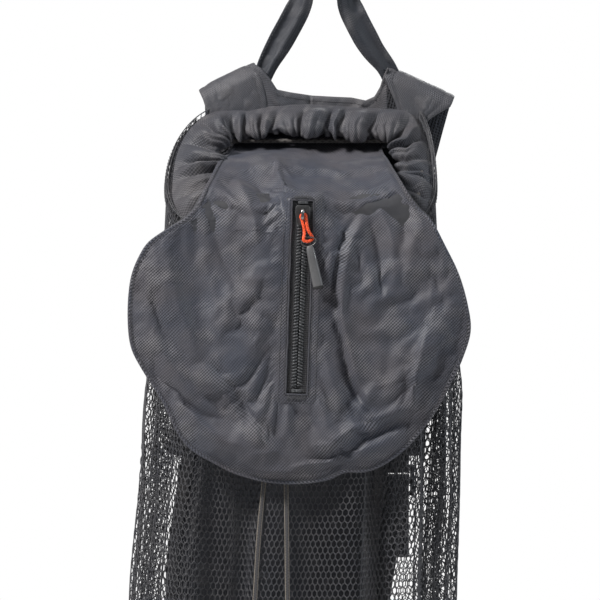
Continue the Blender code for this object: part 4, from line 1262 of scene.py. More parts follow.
def make_pocket():
    front, rim = make_pocket_front()
    edge_line = []
    verts = front.data.vertices
    places = np.array([vert.co for vert in verts])
    for spot in rim:
        y, z, out = neck_place(spot.y)
        target = np.array((spot.x, y, z))
        apart = np.linalg.norm((places - target) * np.array((1.0, 0.5, 1.0)), axis=1)
        edge_line.append(Vector(places[apart.argmin()]))
    thicken(front, 0.0010, offset=-1.0)

    def back_place(u, v):
        return pocket_place(u, v, 0.0015, -0.012, -0.012, rim)

    bm = cloth_grid(POCKET_ROUND, 20, back_place, (1, 1))
    lay_cloth_uv(bm)
    rim_points = np.array([(place.x, place.y) for place in rim])
    bmesh.ops.remove_doubles(bm, verts=bm.verts, dist=0.000001)
    inner = [edge for edge in bm.edges if edge.is_boundary and abs(zip_space(*edge.verts[0].co.xy)[0]) < 0.004
             and -0.02 < zip_space(*edge.verts[0].co.xy)[1] < ZIP_LENGTH + 0.02]
    bmesh.ops.holes_fill(bm, edges=inner, sides=0)
    bmesh.ops.bisect_plane(
        bm, geom=bm.verts[:] + bm.edges[:] + bm.faces[:], dist=0.000001, plane_co=(0, ZIP_REACH - 0.010, 0),
        plane_no=(0, -1, 0), clear_outer=True,
    )
    for vert in bm.verts:
        x, s = vert.co.x, vert.co.y
        y, z, out = neck_place(s)
        edge = float(np.hypot(rim_points[:, 0] - x, rim_points[:, 1] - s).min())
        full = eased(edge / 0.030)
        k = int(np.hypot(rim_points[:, 0] - x, rim_points[:, 1] - s).argmin())
        rim_y = edge_line[k].y + 0.0011
        belly = FLAP_BACK_Y + 0.0012 * ripple(x, s, 0.0, 0.045, 5.0) + 0.0006 * ripple(x, s, 0.0, 0.018, 6.0)
        high = min(1.0, max(0.0, (s - ZIP_REACH + 0.010) / 0.012))
        y_here = rim_y + (belly - rim_y) * full
        y_top = max(y + 0.0040, rim_y)
        vert.co = Vector((x, y_top + (y_here - y_top) * eased(high), z))
    bm.normal_update()
    if sum((face.normal.y * face.calc_area() for face in bm.faces)) < 0:
        bmesh.ops.reverse_faces(bm, faces=bm.faces)
    back = add_piece("pocket_back", bm, LINING, "flap")
    thicken(back, 0.0008, offset=-1.0)
    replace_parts(back, "flap_back", "flap_header")

    hem_line = [Vector((place.x, place.y, place.z)) for place in edge_line]
    root_gap = [k for k, spot in enumerate(rim) if spot.y > 0.004]
    hem_route = [hem_line[k] + Vector((0, 0.0004, 0)) for k in root_gap]
    centre = Vector((-0.021, -0.117, -0.285))

    def hem_inward(k):
        return (centre - hem_route[k]).normalized()

    last = len(hem_route) - 1

    def hem_place(u, v):
        k = round(u * last)
        before, after = hem_route[max(0, k - 3)], hem_route[min(last, k + 3)]
        ahead = (after - before).normalized()
        outward = Vector((0, -1, 0)) if hem_route[k].z < -0.2 else neck_place(rim[root_gap[k]].y)[2]
        inward = ahead.cross(outward).normalized()
        if inward.dot(hem_inward(k)) < 0:
            inward = -inward
        angle = 2 * math.pi * v
        wide = HEM_WIDTH / 2 * (math.copysign(abs(math.cos(angle)) ** 0.6, math.cos(angle)))
        deep = 0.00085 * math.copysign(abs(math.sin(angle)) ** 0.8, math.sin(angle))
        bead = 0.00018 * math.sin(k * 2.1)
        return hem_route[k] + inward * (wide + HEM_WIDTH * 0.38) + outward * (deep + bead)

    bm = cloth_grid(last, 10, hem_place, (last * 0.0030, 0.010), close=True)
    hem = add_piece("pocket_hem", bm, TWILL, None)
    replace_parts(hem, "flap_binding")
    line = []
    for k in range(0, last + 1):
        inward = hem_inward(k)
        before, after = hem_route[max(0, k - 3)], hem_route[min(last, k + 3)]
        outward = Vector((0, -1, 0)) if hem_route[k].z < -0.2 else neck_place(rim[root_gap[k]].y)[2]
        side = (after - before).normalized().cross(outward).normalized()
        if side.dot(inward) < 0:
            side = -side
        line.append(hem_route[k] + side * HEM_WIDTH * 0.82 + outward * 0.0011)
    stitches = stitch_line("pocket_hem_stitches", line, 0.0031, THREAD, None, radius=0.0003)
    for piece in (front, hem, stitches):
        hang_on_fold(piece)
    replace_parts(front, "flap_front", "flap_neck")


make_pocket()


# ---------------------------------------------------------------- zip and its pull
ZIP_FRAME = Matrix.Translation(ZIP_TOP) @ Matrix.Rotation(ZIP_LEAN, 4, "Y")
PULL_FRAME = Matrix.Translation(PULL_TOP) @ Matrix.Rotation(PULL_LEAN, 4, "Y")
TAPE_Y = FLAP_FRONT_Y + 0.0016
COIL_PITCH = 0.00245


def lean(bm, matrix):
    bmesh.ops.transform(bm, matrix=matrix, verts=bm.verts)


def make_zip():
    """Two woven tapes, two nylon coils wound round a cord, end stops and the rows of sewing beside them."""
    for side, sign in (("left", -1), ("right", 1)):

        def tape_place(u, v, sign=sign):
            across = 0.0003 + 0.0127 * u
            ridge = 0.00035 * math.exp(-((across - 0.0055) / 0.0005) ** 2)
            return Vector((sign * across, TAPE_Y - ridge, 0.005 - (ZIP_LENGTH + 0.011) * v))

        bm = cloth_grid(18, 40, tape_place, (0.0127, ZIP_LENGTH + 0.011), facing=(0, -1, 0))
        lean(bm, ZIP_FRAME)
        tape = add_piece(f"tape_{side}", bm, ZIP_TAPE, "flap")
        thicken(tape, 0.0007, offset=-1.0)
        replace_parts(tape, f"zip_tape_{side}")

        turns, per_turn = round((ZIP_LENGTH - 0.004) / COIL_PITCH), 12
        wound = []
        for k in range(turns * per_turn + 1):
            angle = 2 * math.pi * k / per_turn
            half = 0.5 if side == "left" else 0.0
            x = sign * (0.00225 - 0.00165 * math.cos(angle))
            y = TAPE_Y - 0.00105 - 0.00062 * math.sin(angle)
            wound.append(ZIP_FRAME @ Vector((x, y, -0.0025 - COIL_PITCH * (k / per_turn + half))))
        coil = cord_along(
            f"coil_{side}", wound, 0.00052, 0.00048, COIL, sides=7, body="flap"
        )
        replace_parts(coil, f"zip_coil_{side}")
        for row, off in (("coil", 0.0045), ("window", 0.0069)):
            line = [ZIP_FRAME @ Vector((sign * off, TAPE_Y, -0.001 - 0.1465 * k / 40)) for k in range(41)]
            stitch_line(
                f"tape_stitches_{row}_{side}", line, 0.0024, THREAD, "flap", radius=0.00026, lift=0.0003
            )
    for name, high, low in (("zip_top_stop", 0.0030, 0.0006), ("zip_bottom_stop", -0.1474, -0.1498)):
        bm = bmesh.new()
        rounded_block(bm, (-0.0040, TAPE_Y - 0.0022, low), (0.0040, TAPE_Y - 0.0003, high), 0.0006, 3)
        for k in range(3):
            cut = 0.0022 * (k - 1)
            rounded_block(
                bm, (cut - 0.0003, TAPE_Y - 0.00245, low), (cut + 0.0003, TAPE_Y - 0.0018, high), 0.0001, 1
            )
        lean(bm, ZIP_FRAME)
        stop = add_piece(name.replace("zip", "coil"), bm, COIL, "flap")
        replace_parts(stop, name)


def make_window_edge():
    """The turned-in edge of the zip's window with its two rows of top stitching and the bars at its ends."""
    half, above, below = WINDOW_HALF, 0.0035, 0.0045
    corners = [(-half, above), (-half, -ZIP_LENGTH - below), (half, -ZIP_LENGTH - below), (half, above)]
    ring = even_route([(x, 0, z) for x, z in corners], 200, closed=True)

    def edge_at(grow, lift):
        line = []
        for place in ring:
            x = place.x * (half + grow) / half
            middle = (above - ZIP_LENGTH - below) / 2
            tall = (above + ZIP_LENGTH + below) / 2
            z = middle + (place.z - middle) * (tall + grow) / tall
            sway = 0.0004 * ripple(place.z, x, 0.0, 0.012, 4.0)
            line.append(ZIP_FRAME @ Vector((x + sway, FLAP_FRONT_Y - lift, z)))
        return line

    rim = cord_along("window_rim", edge_at(0.0002, 0.0001), 0.0008, 0.0006, TWILL, sides=8, closed=True,
                     body="flap")
    for row, grow in (("inner", 0.0016), ("outer", 0.0062)):
        line = edge_at(grow, 0.0)
        stitch_line(
            f"window_stitches_{row}", line + [line[0]], 0.0028, THREAD, "flap", radius=0.0003, lift=0.0003
        )
    for name, z in (("top", 0.0062), ("foot", -ZIP_LENGTH - 0.0075)):
        bm = bmesh.new()
        draw = random.Random(3 if name == "top" else 5)
        for k in range(26):
            at = Vector((-0.0068 + 0.0136 * k / 25, FLAP_FRONT_Y - 0.0004, z + draw.uniform(-0.0008, 0.0008)))
            turn = Matrix.Rotation(draw.uniform(-0.5, 0.5), 4, "Y")
            shape = Matrix.Diagonal((0.00033, 0.00040, draw.uniform(0.0014, 0.0024), 1.0))
            bmesh.ops.create_uvsphere(
                bm, u_segments=6, v_segments=4, radius=1.0,
                matrix=ZIP_FRAME @ Matrix.Translation(at) @ turn @ shape,
            )
        add_piece(f"bartack_{name}", bm, THREAD, "flap")
    return rim


def make_slider():
    """The slider: a waisted plate with side rails, a raised bail over it and a plate behind the coils."""
    bm = bmesh.new()
    face_back = TAPE_Y - 0.0026
    bmesh.ops.create_grid(bm, x_segments=8, y_segments=14, size=0.5)
    for vert in bm.verts:
        u, v = vert.co.x + 0.5, vert.co.y + 0.5
        waist = 0.0060 - 0.0012 * eased((0.62 - v) / 0.5) - 0.0012 * eased((v - 0.86) / 0.14)
        dip = 0.0005 * (1 - (2 * u - 1) ** 2) * eased((0.8 - v) / 0.3)
        vert.co = Vector(((2 * u - 1) * waist, face_back - 0.0014 + dip, -0.0160 + 0.0155 * v))
    grown = bmesh.ops.extrude_face_region(bm, geom=bm.faces[:])
    moved = [item for item in grown["geom"] if isinstance(item, bmesh.types.BMVert)]
    bmesh.ops.translate(bm, vec=(0, 0.0013, 0), verts=moved)
    bmesh.ops.recalc_face_normals(bm, faces=bm.faces)
    bmesh.ops.bevel(bm, geom=[edge for edge in bm.edges if edge.calc_face_angle(0) > 1.0], offset=0.0003,
                    offset_type="OFFSET", affect="EDGES", segments=2, profile=0.5, material=-1)
    rounded_block(bm, (-0.0003, face_back - 0.0002, -0.0100), (0.0003, TAPE_Y + 0.0016, -0.0030), 0.0001, 1)
    rounded_block(bm, (-0.0048, TAPE_Y + 0.0012, -0.0140), (0.0048, TAPE_Y + 0.0024, -0.0020), 0.0004, 2)
    lean(bm, ZIP_FRAME)
    slider = add_piece("slider", bm, DARK_METAL, "slider")
    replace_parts(slider, "zip_slider")
    arch = [
        (0, face_back - 0.0010, -0.0036), (0, PULL_Y - 0.0012, -0.0040), (0, PULL_Y - 0.0024, -0.0056),
        (0, PULL_Y - 0.0026, -0.0080), (0, PULL_Y - 0.0024, -0.0102), (0, PULL_Y - 0.0010, -0.0116),
        (0, face_back - 0.0010, -0.0120),
    ]
    route = [ZIP_FRAME @ place for place in smooth_route(arch, 0.0006)]
    cord_along("slider_bail", route, 0.0013, 0.0007, BRIGHT_METAL, sides=12, across=(1, 0, 0), body="slider")


def make_pull():
    """Orange braid doubled through the bail, a dark wire ring in its bight and a moulded grip."""
    front, rear = PULL_Y - 0.0021, PULL_Y + 0.0017
    loop = [
        (-0.0011, PULL_Y, 0.0002), (0.0011, PULL_Y, 0.0002), (0.0020, PULL_Y, -0.0012),
        (0.0016, PULL_Y, -0.0050),
        (0.0014, PULL_Y - 0.0004, -0.0100), (0.0020, PULL_Y + 0.0004, -0.0145), (0.0034, rear, -0.0182),
        (0.0036, rear, -0.0202), (0.0013, PULL_Y + 0.0008, -0.0214), (-0.0013, PULL_Y - 0.0010, -0.0214),
        (-0.0036, front, -0.0202), (-0.0034, front, -0.0182), (-0.0020, PULL_Y, -0.0145),
        (-0.0014, PULL_Y, -0.0100), (-0.0016, PULL_Y, -0.0050), (-0.0020, PULL_Y, -0.0012),
    ]
    fine = smooth_route([*loop, loop[0]], 0.0005)[:-1]
    cord = cord_along(
        "orange_loop", [PULL_FRAME @ place for place in fine], 0.00125, 0.00125, ORANGE, sides=12,
        closed=True, body="pull_cord",
    )
    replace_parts(cord, "pull_cord")
    centre = -RING_DROP - RING_HALF_HEIGHT
    wire = []
    for k in range(48):
        angle = 2 * math.pi * k / 48
        wire.append(PULL_FRAME @ Vector((RING_HALF_WIDTH * math.cos(angle), PULL_Y,
                                         centre + RING_HALF_HEIGHT * math.sin(angle))))
    ring = cord_along("wire_ring", wire, 0.00062, 0.00062, DARK_METAL, sides=10, closed=True, body="pull_grip")
    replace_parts(ring, "pull_ring")
    top, foot = -RING_DROP - 2 * RING_HALF_HEIGHT + 0.0004, -0.0605
    stations = [
        (0.0, 0.0022, 0.0013), (0.05, 0.0030, 0.0019), (0.14, 0.0034, 0.0026), (0.30, 0.0036, 0.0030),
        (0.60, 0.0039, 0.0031), (0.90, 0.0041, 0.0031), (0.955, 0.0041, 0.0030), (0.985, 0.0038, 0.0026),
        (1.0, 0.0030, 0.0019),
    ]
    shares, widths, depths = zip(*stations)

    def grip_place(u, v):
        angle = 2 * math.pi * u
        wide, deep = float(np.interp(v, shares, widths)), float(np.interp(v, shares, depths))
        x = wide * signed_power(math.cos(angle), 0.85)
        y = deep * signed_power(math.sin(angle), 0.85)
        return Vector((x, PULL_Y + y, top + (foot - top) * v))

    bm = cloth_grid(28, 60, grip_place, (1.0, top - foot), close=True)
    lean(bm, PULL_FRAME)
    grip = add_piece("grip", bm, [GRIP, GRIP_TIP], "pull_grip")
    for face in grip.data.polygons:
        heights = [(PULL_FRAME.inverted() @ grip.data.vertices[k].co).z for k in face.vertices]
        if sum(heights) / len(heights) < foot + 0.0022:
            face.material_index = 1
    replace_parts(grip, "pull_grip")


make_zip()
make_window_edge()
make_slider()
make_pull()


# ---------------------------------------------------------------- yoke, haul loop and straps
YOKE_TOP = [
    (-0.0590, -0.0815), (-0.0530, -0.0850), (-0.0460, -0.0930), (-0.0400, -0.1024), (-0.0300, -0.1045),
    (-0.0120, -0.1072), (0.0060, -0.1082), (0.0200, -0.1088), (0.0312, -0.1112), (0.0384, -0.1080),
    (0.0430, -0.1000), (0.0455, -0.0915), (0.0488, -0.0845),
]
YOKE_FOOT_Z = -0.150


def make_yoke():
    """The yoke: two halves joined by an upright seam, with a turned and stitched neckline."""
    edge_x, edge_z = zip(*YOKE_TOP)

    def surface(x, z):
        near_seam = math.exp(-(((x - YOKE_SEAM_X) / 0.0016) ** 2))
        puff = 0.0016 * (1 - math.exp(-(((x - YOKE_SEAM_X) / 0.010) ** 2)))
        creases = 0.0022 * ripple(x, z * 0.6, 0.0, 0.030, 3.0) + 0.0011 * abs(ripple(x, z, 0.0, 0.016, 5.0))
        fold = 0.0018 * math.exp(-(((x - 0.024 - (z + 0.12) * 0.7) / 0.004) ** 2))
        fold += 0.0016 * math.exp(-(((x + 0.034 + (z + 0.12) * 0.5) / 0.005) ** 2))
        return -0.0006 - puff - creases - fold + 0.0014 * near_seam

    def place(u, v):
        x = edge_x[0] + (edge_x[-1] - edge_x[0]) * u
        top = float(np.interp(x, edge_x, edge_z))
        z = top + (YOKE_FOOT_Z - top) * v
        turned = 0.0010 * math.exp(-(((v * (top - YOKE_FOOT_Z)) / 0.0012) ** 2))
        return Vector((x, surface(x, z) + turned, z))

    bm = cloth_grid(110, 34, place, (0.108, 0.052), facing=(0, -1, 0))
    yoke = add_piece("yoke", bm, SMOOTH_TWILL, "bag")
    thicken(yoke, 0.0026, offset=-1.0)
    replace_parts(yoke, "yoke_left", "yoke_right")
    line = []
    for k in range(61):
        x = edge_x[0] + 0.003 + (edge_x[-1] - edge_x[0] - 0.006) * k / 60
        z = float(np.interp(x, edge_x, edge_z)) - 0.0042
        line.append((x, surface(x, z) - 0.0001, z))
    stitch_line("neckline_stitches", line, 0.0031, THREAD, "bag", lift=0.0002)
    beside_seam = YOKE_SEAM_X + 0.0028
    line = [(beside_seam, surface(beside_seam, z), z) for z in np.linspace(-0.109, -0.124, 12)]
    stitch_line("yoke_seam_stitches", line, 0.0029, THREAD, "bag", lift=0.0002)


def make_haul_loop():
    """A strip folded lengthwise: a narrow lit band outside and a wide shaded one inside."""
    knots = [
        (-0.0545, 0.0040, -0.0985), (-0.0470, 0.0030, -0.0810), (-0.0380, 0.0010, -0.0650),
        (-0.0265, -0.0014, -0.0440), (-0.0140, 0.0, -0.0190), (0.0, 0.0, 0.0010), (0.0115, 0.0, -0.0190),
        (0.0225, -0.0010, -0.0440), (0.0355, 0.0010, -0.0680), (0.0470, 0.0030, -0.0830),
        (0.0530, 0.0040, -0.0940),
    ]
    route = smooth_route(knots, 0.0015)
    last = len(route) - 1

    def place(u, v):
        step = round(u * last)
        ahead = (route[min(step + 1, last)] - route[max(step - 1, 0)]).normalized()
        turned = eased((route[step].z + 0.046) / 0.040) * math.pi / 2
        flat = ahead.cross(Vector((0, 1, 0))).normalized()
        across = flat * math.cos(turned) + Vector((0, 1, 0)) * math.sin(turned)
        out = ahead.cross(across).normalized()
        share = abs(u - 0.5) * 2
        width = 0.0205 - 0.0050 * eased((share - 0.60) / 0.35)
        ridge = 0.0032 * math.exp(-(((v - 0.30) / 0.13) ** 2)) * (1 - eased((share - 0.9) / 0.1))
        ridge -= 0.0016 * math.exp(-(((v - 0.72) / 0.16) ** 2)) * eased(share / 0.2)
        wrinkle = 0.0006 * ripple(u * 0.26, v * 0.02, 0.0, 0.016, 3.0)
        return route[step] + across * width * (v - 0.5) + out * (wrinkle + ridge * math.cos(turned))

    bm = cloth_grid(last, 16, place, (0.235, 0.024))
    loop = add_piece("carry_loop", bm, LOOP_TWILL, "bag")
    thicken(loop, 0.0019, subdivide=1)
    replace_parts(loop, "haul_loop")
    for side, v in (("outer", 0.10), ("inner", 0.92)):
        for face in (-1, 1):
            line = []
            for k in range(8, 93):
                a, b = place(k / 100, v), place(k / 100 + 0.01, v)
                c = place(k / 100, v + 0.02)
                normal = (b - a).cross(c - a).normalized()
                line.append(a + normal * face * 0.00105)
            name = f"loop_stitches_{side}_{'back' if face < 0 else 'front'}"
            stitch_line(name, line, 0.0031, THREAD, "bag", radius=0.00028)


STRAP_BACK = [
    ((0.036, -0.130), (0.090, -0.150)), ((0.028, -0.170), (0.085, -0.182)), ((0.027, -0.230), (0.084, -0.232)),
    ((0.034, -0.300), (0.090, -0.296)), ((0.045, -0.365), (0.098, -0.358)), ((0.050, -0.401), (0.100, -0.397)),
]
STRAP_FOLD = 0.008
STRAP_UP = Vector((math.sin(math.radians(24)), 0.0, math.cos(math.radians(24))))


def lean_of(z):
    """How far the back of the bag hangs to the left at height z."""
    return -0.040 * max(0.0, -0.150 - z) / 0.472


def strap_edges(side):
    """The strap's inner and outer edge from its front foot, over the top and down the back."""
    if side == "right":
        inner = [Vector((0.0600, 0.0, -0.1320)), Vector((0.0560, 0.0, -0.1150))]
        outer = [Vector((0.0690, 0.0, -0.1390)), Vector((0.0840, 0.0, -0.1255))]
        pivots = (Vector((0.0450, 0.0, -0.0948)), Vector((0.0985, 0.0, -0.1188)))
        up = STRAP_UP
    else:
        inner = [Vector((-0.0480, 0.0, -0.1270)), Vector((-0.0490, 0.0, -0.1080))]
        outer = [Vector((-0.0930, 0.0, -0.1290)), Vector((-0.0975, 0.0, -0.1180))]
        pivots = (Vector((-0.0532, 0.0, -0.0912)), Vector((-0.0985, 0.0, -0.1135)))
        up = Vector((-STRAP_UP.x, 0.0, STRAP_UP.z))
    for pitch in range(20, 181, 20):
        swing = math.radians(pitch)
        rise = up * STRAP_FOLD * math.sin(swing)
        back = Vector((0, STRAP_FOLD * (1 - math.cos(swing)), 0))
        inner.append(pivots[0] + rise + back)
        outer.append(pivots[1] + rise + back)
    for near, far in STRAP_BACK:
        for line, (x, z) in ((inner, near), (outer, far)):
            if side == "left":
                x = STRAP_MIRROR_X - x
            line.append(Vector((x + lean_of(z), STRAP_FOLD * 2, z)))
    return inner, outer


def make_strap(side):
    """A padded strap: twill shell outside, spacer knit inside, hemmed edges with a row of stitching."""
    inner, outer = strap_edges(side)
    marks = []
    for line in (inner, outer):
        fine = []
        ends = [line[0] * 2 - line[1]] + line + [line[-1] * 2 - line[-2]]
        for k in range(len(line) - 1):
            a, b, c, d = ends[k : k + 4]
            for step in range(10):
                t = step / 10
                fine.append(0.5 * (2 * b + (c - a) * t + (2 * a - 5 * b + 4 * c - d) * t**2
                                   + (3 * b - a - 3 * c + d) * t**3))
        fine.append(line[-1])
        marks.append(fine)
    last = len(marks[0]) - 1
    middles = [(a + b) / 2 for a, b in zip(*marks)]
    reach = [0.0]
    for a, b in zip(middles, middles[1:]):
        reach.append(reach[-1] + (b - a).length)
    even = [float(np.interp(s, reach, range(last + 1))) for s in np.linspace(0, reach[-1], 171)]

    def at(line, spot):
        k = min(last - 1, int(spot))
        return line[k].lerp(line[k + 1], spot - k)

    def place_at(low, crown, wave_seed):
        def place(u, v):
            spot = even[round(v * 170)]
            a, b = at(marks[0], spot), at(marks[1], spot)
            before = at(marks[0], max(0, spot - 0.5)).lerp(at(marks[1], max(0, spot - 0.5)), u)
            after = at(marks[0], min(last, spot + 0.5)).lerp(at(marks[1], min(last, spot + 0.5)), u)
            normal = (after - before).cross(b - a).normalized()
            if side == "right":
                normal = -normal
            side_on = abs(2 * u - 1)
            puffed = crown * (1 - side_on**3.0)
            groove = 0.0009 * math.exp(-(((side_on - 0.74) / 0.05) ** 2))
            crease = 0.0008 * ripple(a.x + u * 0.05, v * 0.34, 0.0, 0.026, wave_seed)
            return a.lerp(b, u) + normal * (low + puffed - groove + crease)

        return place

    length = reach[-1]
    shell_place = place_at(0.0024, 0.0016, 2.0)
    facing = (0, 1, 0)
    bm = cloth_grid(26, 170, shell_place, (0.056, length), facing=facing)
    shell = add_piece(f"strap_shell_{side}", bm, SMOOTH_TWILL, "bag")
    thicken(shell, 0.0034, offset=0.0, subdivide=1)
    bm = cloth_grid(22, 170, place_at(-0.0020, -0.0008, 4.0), (0.056, length), facing=facing)
    lining = add_piece(f"strap_pad_{side}", bm, SPACER, "bag")
    thicken(lining, 0.0026, offset=0.0, subdivide=1)
    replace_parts(shell, f"strap_{side}")
    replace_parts(lining, f"strap_lining_{side}")
    for name, u in (("outer", 0.86), ("inner", 0.10)):
        base = [shell_place(u, k / 170) for k in range(0, 171)]
        lifted = []
        for k in range(171):
            a, b = shell_place(u, k / 170), shell_place(u + 0.03, k / 170)
            ahead = base[min(170, k + 1)] - base[max(0, k - 1)]
            normal = ahead.cross(b - a).normalized() * (-1 if side == "right" else 1)
            lifted.append(a + normal * 0.0018)
        stitch_line(
            f"strap_stitches_{name}_{side}", lifted, 0.0033, THREAD, "bag", radius=0.0003
        )


make_yoke()
make_haul_loop()
make_strap("left")
make_strap("right")


# ---------------------------------------------------------------- back, base and strap ends
PANEL_TOP = -0.146


def back_edges(z):
    return read_table(BACK_TABLE, z)


def panel_y(x, z):
    """How far the hanging back panel stands behind the flat."""
    return 0.0005 + 0.0009 * ripple(x, z * 0.5, 0.0, 0.045, 2.0) + 0.0004 * ripple(x, z, 0.0, 0.018, 5.0)


def make_back():
    """The back panel, hanging in slight folds, and the tape that binds the net to each of its edges."""
    foot = BASE_Z + 0.0029

    def place(u, v):
        z = PANEL_TOP + (foot - PANEL_TOP) * v
        left, right = back_edges(z)
        x = left + (right - left) * u
        return Vector((x, panel_y(x, z), z))

    bm = cloth_grid(40, 100, place, (0.165, 0.473), facing=(0, 1, 0))
    panel = add_piece("back_cloth", bm, DARK_AND_SHADED_PANEL, "bag")
    thicken(panel, 0.0022, offset=0.0)
    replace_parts(panel, "back_panel")
    for side, column, inward in (("left", 0, 1), ("right", 1, -1)):

        def tape_place(u, v, column=column, inward=inward):
            z = -0.1504 + (-0.6130 + 0.1504) * v
            x = back_edges(z)[column]
            angle = math.pi * (u - 0.5)
            wrap = 0.0095 * (1 - math.cos(angle) ** 0.5) if abs(u - 0.5) < 0.499 else 0.0095
            depth = 0.0024 * math.sin(angle)
            ripples = 0.0004 * ripple(z, u * 0.02, 0.0, 0.010, 3.0)
            return Vector((x + inward * (wrap - 0.0012), 0.0012 + depth + ripples, z))

        bm = cloth_grid(14, 150, tape_place, (0.022, 0.463), facing=(-inward, 0, 0))
        tape = add_piece(f"edge_tape_{side}", bm, BINDING, "bag")
        thicken(tape, 0.0008, offset=0.0)
        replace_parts(tape, f"side_binding_{side}")
        for face, y in (("back", 0.0040), ("front", -0.0016)):
            line = [(back_edges(z)[column] + inward * 0.0062, y, z) for z in np.linspace(-0.155, -0.608, 80)]
            stitch_line(f"edge_stitches_{face}_{side}", line, 0.0034, THREAD, "bag", radius=0.0003)


def make_base():
    """The oval base with its sag and the tape round its rim."""
    centre = Vector((-0.036, -0.056, BASE_Z + 0.0012))
    rim = [body_point(turn, -0.620, -0.002) for turn in np.linspace(-90, 270, 121)]
    rim = [rim[0] + Vector((0, 0.004, 0)), *rim, rim[-1] + Vector((0, 0.004, 0))]
    ring = even_route([Vector((point.x, point.y, BASE_Z + 0.0012)) for point in rim], 144, closed=True)

    def place(u, v):
        k = round(u * 144) % 144
        point = centre.lerp(ring[k], max(0.004, v))
        point.z += 0.0006 * ripple(point.x, point.y, 0.0, 0.03, 3.0) * eased((1 - v) / 0.2) + 0.0003
        return point

    bm = cloth_grid(144, 16, place, (1, 1))
    layer = bm.loops.layers.uv["cloth"]
    for face in bm.faces:
        for loop in face.loops:
            loop[layer].uv = (loop.vert.co.x, loop.vert.co.y)
    bmesh.ops.remove_doubles(bm, verts=bm.verts, dist=0.000001)
    middle = [edge for edge in bm.edges if edge.is_boundary and (edge.verts[0].co - centre).length < 0.01]
    bmesh.ops.holes_fill(bm, edges=middle, sides=0)
    bmesh.ops.recalc_face_normals(bm, faces=bm.faces)
    base = add_piece("base_cloth", bm, TWILL, "bag")
    thicken(base, 0.0018, offset=0.0)
    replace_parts(base, "base_panel")

    def tape_place(u, v):
        turn = -80 + 340 * u
        swell = 0.0011 * math.sin(math.pi * v)
        swell += 0.0005 * ripple(turn / 40, v, 0, 0.2, 2.0)
        return body_point(turn, -0.6214 + 0.0145 * v, 0.0012 + swell)

    bm = cloth_grid(200, 6, tape_place, (0.58, 0.0145), facing=(0, -1, 0))
    tape = add_piece("base_tape", bm, BINDING, "bag")
    thicken(tape, 0.0009, offset=0.0)
    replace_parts(tape, "base_binding")
    line = [body_point(turn, -0.6105, 0.0026) for turn in np.linspace(-78, 258, 200)]
    stitch_line("base_stitches", line, 0.0033, THREAD, "bag", radius=0.0003)


def ribbon(name, route, width, thickness, finish, across=(1, 0, 0)):
    """Woven tape along the route with slightly raised selvedges."""
    fine = smooth_route(route, 0.0015)
    last = len(fine) - 1
    reach = sum((b - a).length for a, b in zip(fine, fine[1:]))
    frames = frames_along(fine)

    def place(u, v):
        step = round(v * last)
        ahead = frames[step][0]
        up = Vector(across).cross(ahead).normalized()
        return fine[step] + Vector(across) * width * (u - 0.5) + up * 0.00018 * math.cos(2 * math.pi * u)

    bm = cloth_grid(10, last, place, (width, reach))
    bmesh.ops.recalc_face_normals(bm, faces=bm.faces)
    piece = add_piece(name, bm, finish, "bag")
    thicken(piece, thickness, offset=0.0)
    return piece


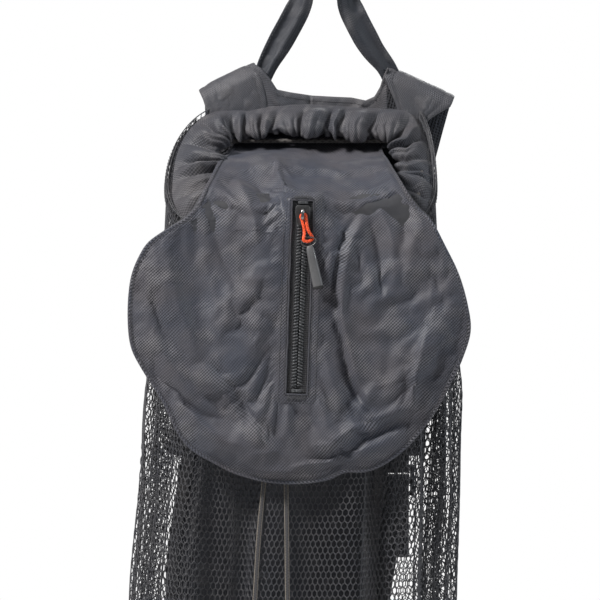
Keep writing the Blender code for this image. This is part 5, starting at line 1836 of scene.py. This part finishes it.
def make_strap_end(side):
    """Keeper, ladder lock, webbing and anchor tab at the lower end of a strap."""
    middle = 0.075
    top_x = (middle if side == "right" else STRAP_MIRROR_X - middle) + lean_of(-0.401)
    column, inward = (1, -0.014) if side == "right" else (0, 0.014)
    foot_x = float(np.interp(-0.598, BACK_ROWS[:, 0], BACK_ROWS[:, 1 + column])) + inward
    keeper = ribbon(
        f"keeper_{side}",
        [(top_x, 0.0126, -0.3960), (top_x, 0.0126, -0.4085), (top_x, 0.0140, -0.4105),
         (top_x, 0.0160, -0.4110), (top_x, 0.0180, -0.4105), (top_x, 0.0194, -0.4085),
         (top_x, 0.0194, -0.3960)],
        0.025, 0.0009, WEBBING,
    )
    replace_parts(keeper, f"strap_keeper_{side}")
    drift = foot_x - top_x
    webbing = ribbon(
        f"webbing_{side}",
        [(top_x, 0.0196, -0.4795), (top_x, 0.0192, -0.4180), (top_x, 0.0180, -0.4152), (top_x, 0.0160, -0.4142),
         (top_x, 0.0140, -0.4152), (top_x, 0.0128, -0.4180), (top_x + drift * 0.30, 0.0120, -0.4700),
         (top_x + drift * 0.80, 0.0085, -0.5600), (foot_x, 0.0066, -0.5980)],
        0.025, 0.0009, WEBBING,
    )
    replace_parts(webbing, f"strap_webbing_{side}")
    bm = bmesh.new()
    for rail in (-1, 1):
        low, high = sorted((rail * 0.0134, rail * 0.0170))
        rounded_block(bm, (top_x + low, 0.0140, -0.4300), (top_x + high, 0.0180, -0.4045), 0.0011, 3)
    for low, high in ((-0.4300, -0.4262), (-0.4200, -0.4162), (-0.4080, -0.4045)):
        rounded_block(bm, (top_x - 0.0138, 0.0143, low), (top_x + 0.0138, 0.0177, high), 0.0012, 3)
    for k in range(6):
        x = top_x - 0.0105 + 0.0042 * k
        rounded_block(bm, (x - 0.0007, 0.0174, -0.4296), (x + 0.0007, 0.0180, -0.4266), 0.0002, 1)
    lock = add_piece(f"buckle_{side}", bm, BLACK_PLASTIC, "bag")
    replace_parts(lock, f"ladder_lock_{side}")

    def tab_place(u, v):
        narrow = 0.0135 - 0.0030 * eased((v - 0.5) / 0.5)
        y = 0.0045 + 0.0004 * ripple(u * 0.02, v * 0.02, 0.0, 0.009, 4.0) + 0.0004 * math.sin(math.pi * v)
        return Vector((foot_x + narrow * (2 * u - 1), y, -0.6020 + 0.0290 * v))

    bm = cloth_grid(12, 12, tab_place, (0.027, 0.028), facing=(0, 1, 0))
    tab = add_piece(f"tab_{side}", bm, BINDING, "bag")
    thicken(tab, 0.0019, offset=0.0, subdivide=1)
    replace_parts(tab, f"anchor_tab_{side}")
    corners = [(-0.010, -0.5985), (0.010, -0.5985), (0.010, -0.5790), (-0.010, -0.5790), (-0.010, -0.5985),
               (0.010, -0.5790), (0.010, -0.5985), (-0.010, -0.5790)]
    box_line = []
    for (x1, z1), (x2, z2) in zip(corners, corners[1:]):
        for k in range(8):
            box_line.append((foot_x + x1 + (x2 - x1) * k / 8, 0.0076, z1 + (z2 - z1) * k / 8))
    stitch_line(f"tab_stitches_{side}", box_line, 0.0030, THREAD, "bag", radius=0.0003)


def make_root():
    """The cloth that sews the pocket's neck to the back panel, gathered along its foot."""
    line = smooth_route([(-0.0014, -0.1720, 0), (-0.0110, -0.1640, 0), (-0.0260, -0.1585, 0)], 0.002)
    last = len(line) - 1

    def place(u, v):
        y, z = line[round(v * last)].x, line[round(v * last)].y
        pleat = 0.0011 * math.sin(u * 60 + 2 * ripple(u, v, 0, 0.3, 2.0)) * (1 - v)
        return Vector((-0.010 + 0.054 * (2 * u - 1), y - 0.0012 - pleat, z + pleat * 0.5))

    bm = cloth_grid(90, last, place, (0.120, 0.036), facing=(0, -0.5, 1))
    root = add_piece("pocket_root", bm, TWILL, "bag")
    thicken(root, 0.0009, offset=0.0)
    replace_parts(root, "flap_root")


def make_overlock():
    """Looped thread over the seam where the collar meets the net: short slanted bars in two rows."""
    turns = np.linspace(-88, 268, 900)
    route = even_route([body_point(t, seam_point(t).z + 0.0035, 0.0024) for t in turns], 281)
    for name, part in (("right", route[:141]), ("left", route[140:])):
        bm = bmesh.new()
        for k, middle in enumerate(part[:-1]):
            ahead = (part[k + 1] - middle).normalized()
            tilt = Vector((0, 0, 1)) * 0.9 + ahead * (0.5 if k % 2 else -0.35)
            turn = tilt.to_track_quat("Z", "Y").to_matrix().to_4x4()
            shape = Matrix.Diagonal((0.00036, 0.00042, 0.0026, 1.0))
            bmesh.ops.create_uvsphere(bm, u_segments=6, v_segments=4, radius=1.0,
                                      matrix=Matrix.Translation(middle) @ turn @ shape)
        add_piece(f"overlock_{name}", bm, THREAD, "bag")


make_back()
make_base()
make_strap_end("left")
make_strap_end("right")
make_root()
make_overlock()

# The lock keeps its own shape and takes a moulded finish
SLOT_FINISHES = {
    "cord_lock_body": BLACK_PLASTIC, "cord_lock_plunger": BLACK_PLASTIC, "cord_lock_spring": BRIGHT_METAL,
}
for node_name, node_finish in SLOT_FINISHES.items():
    for material_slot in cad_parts[node_name].material_slots:
        material_slot.material = node_finish
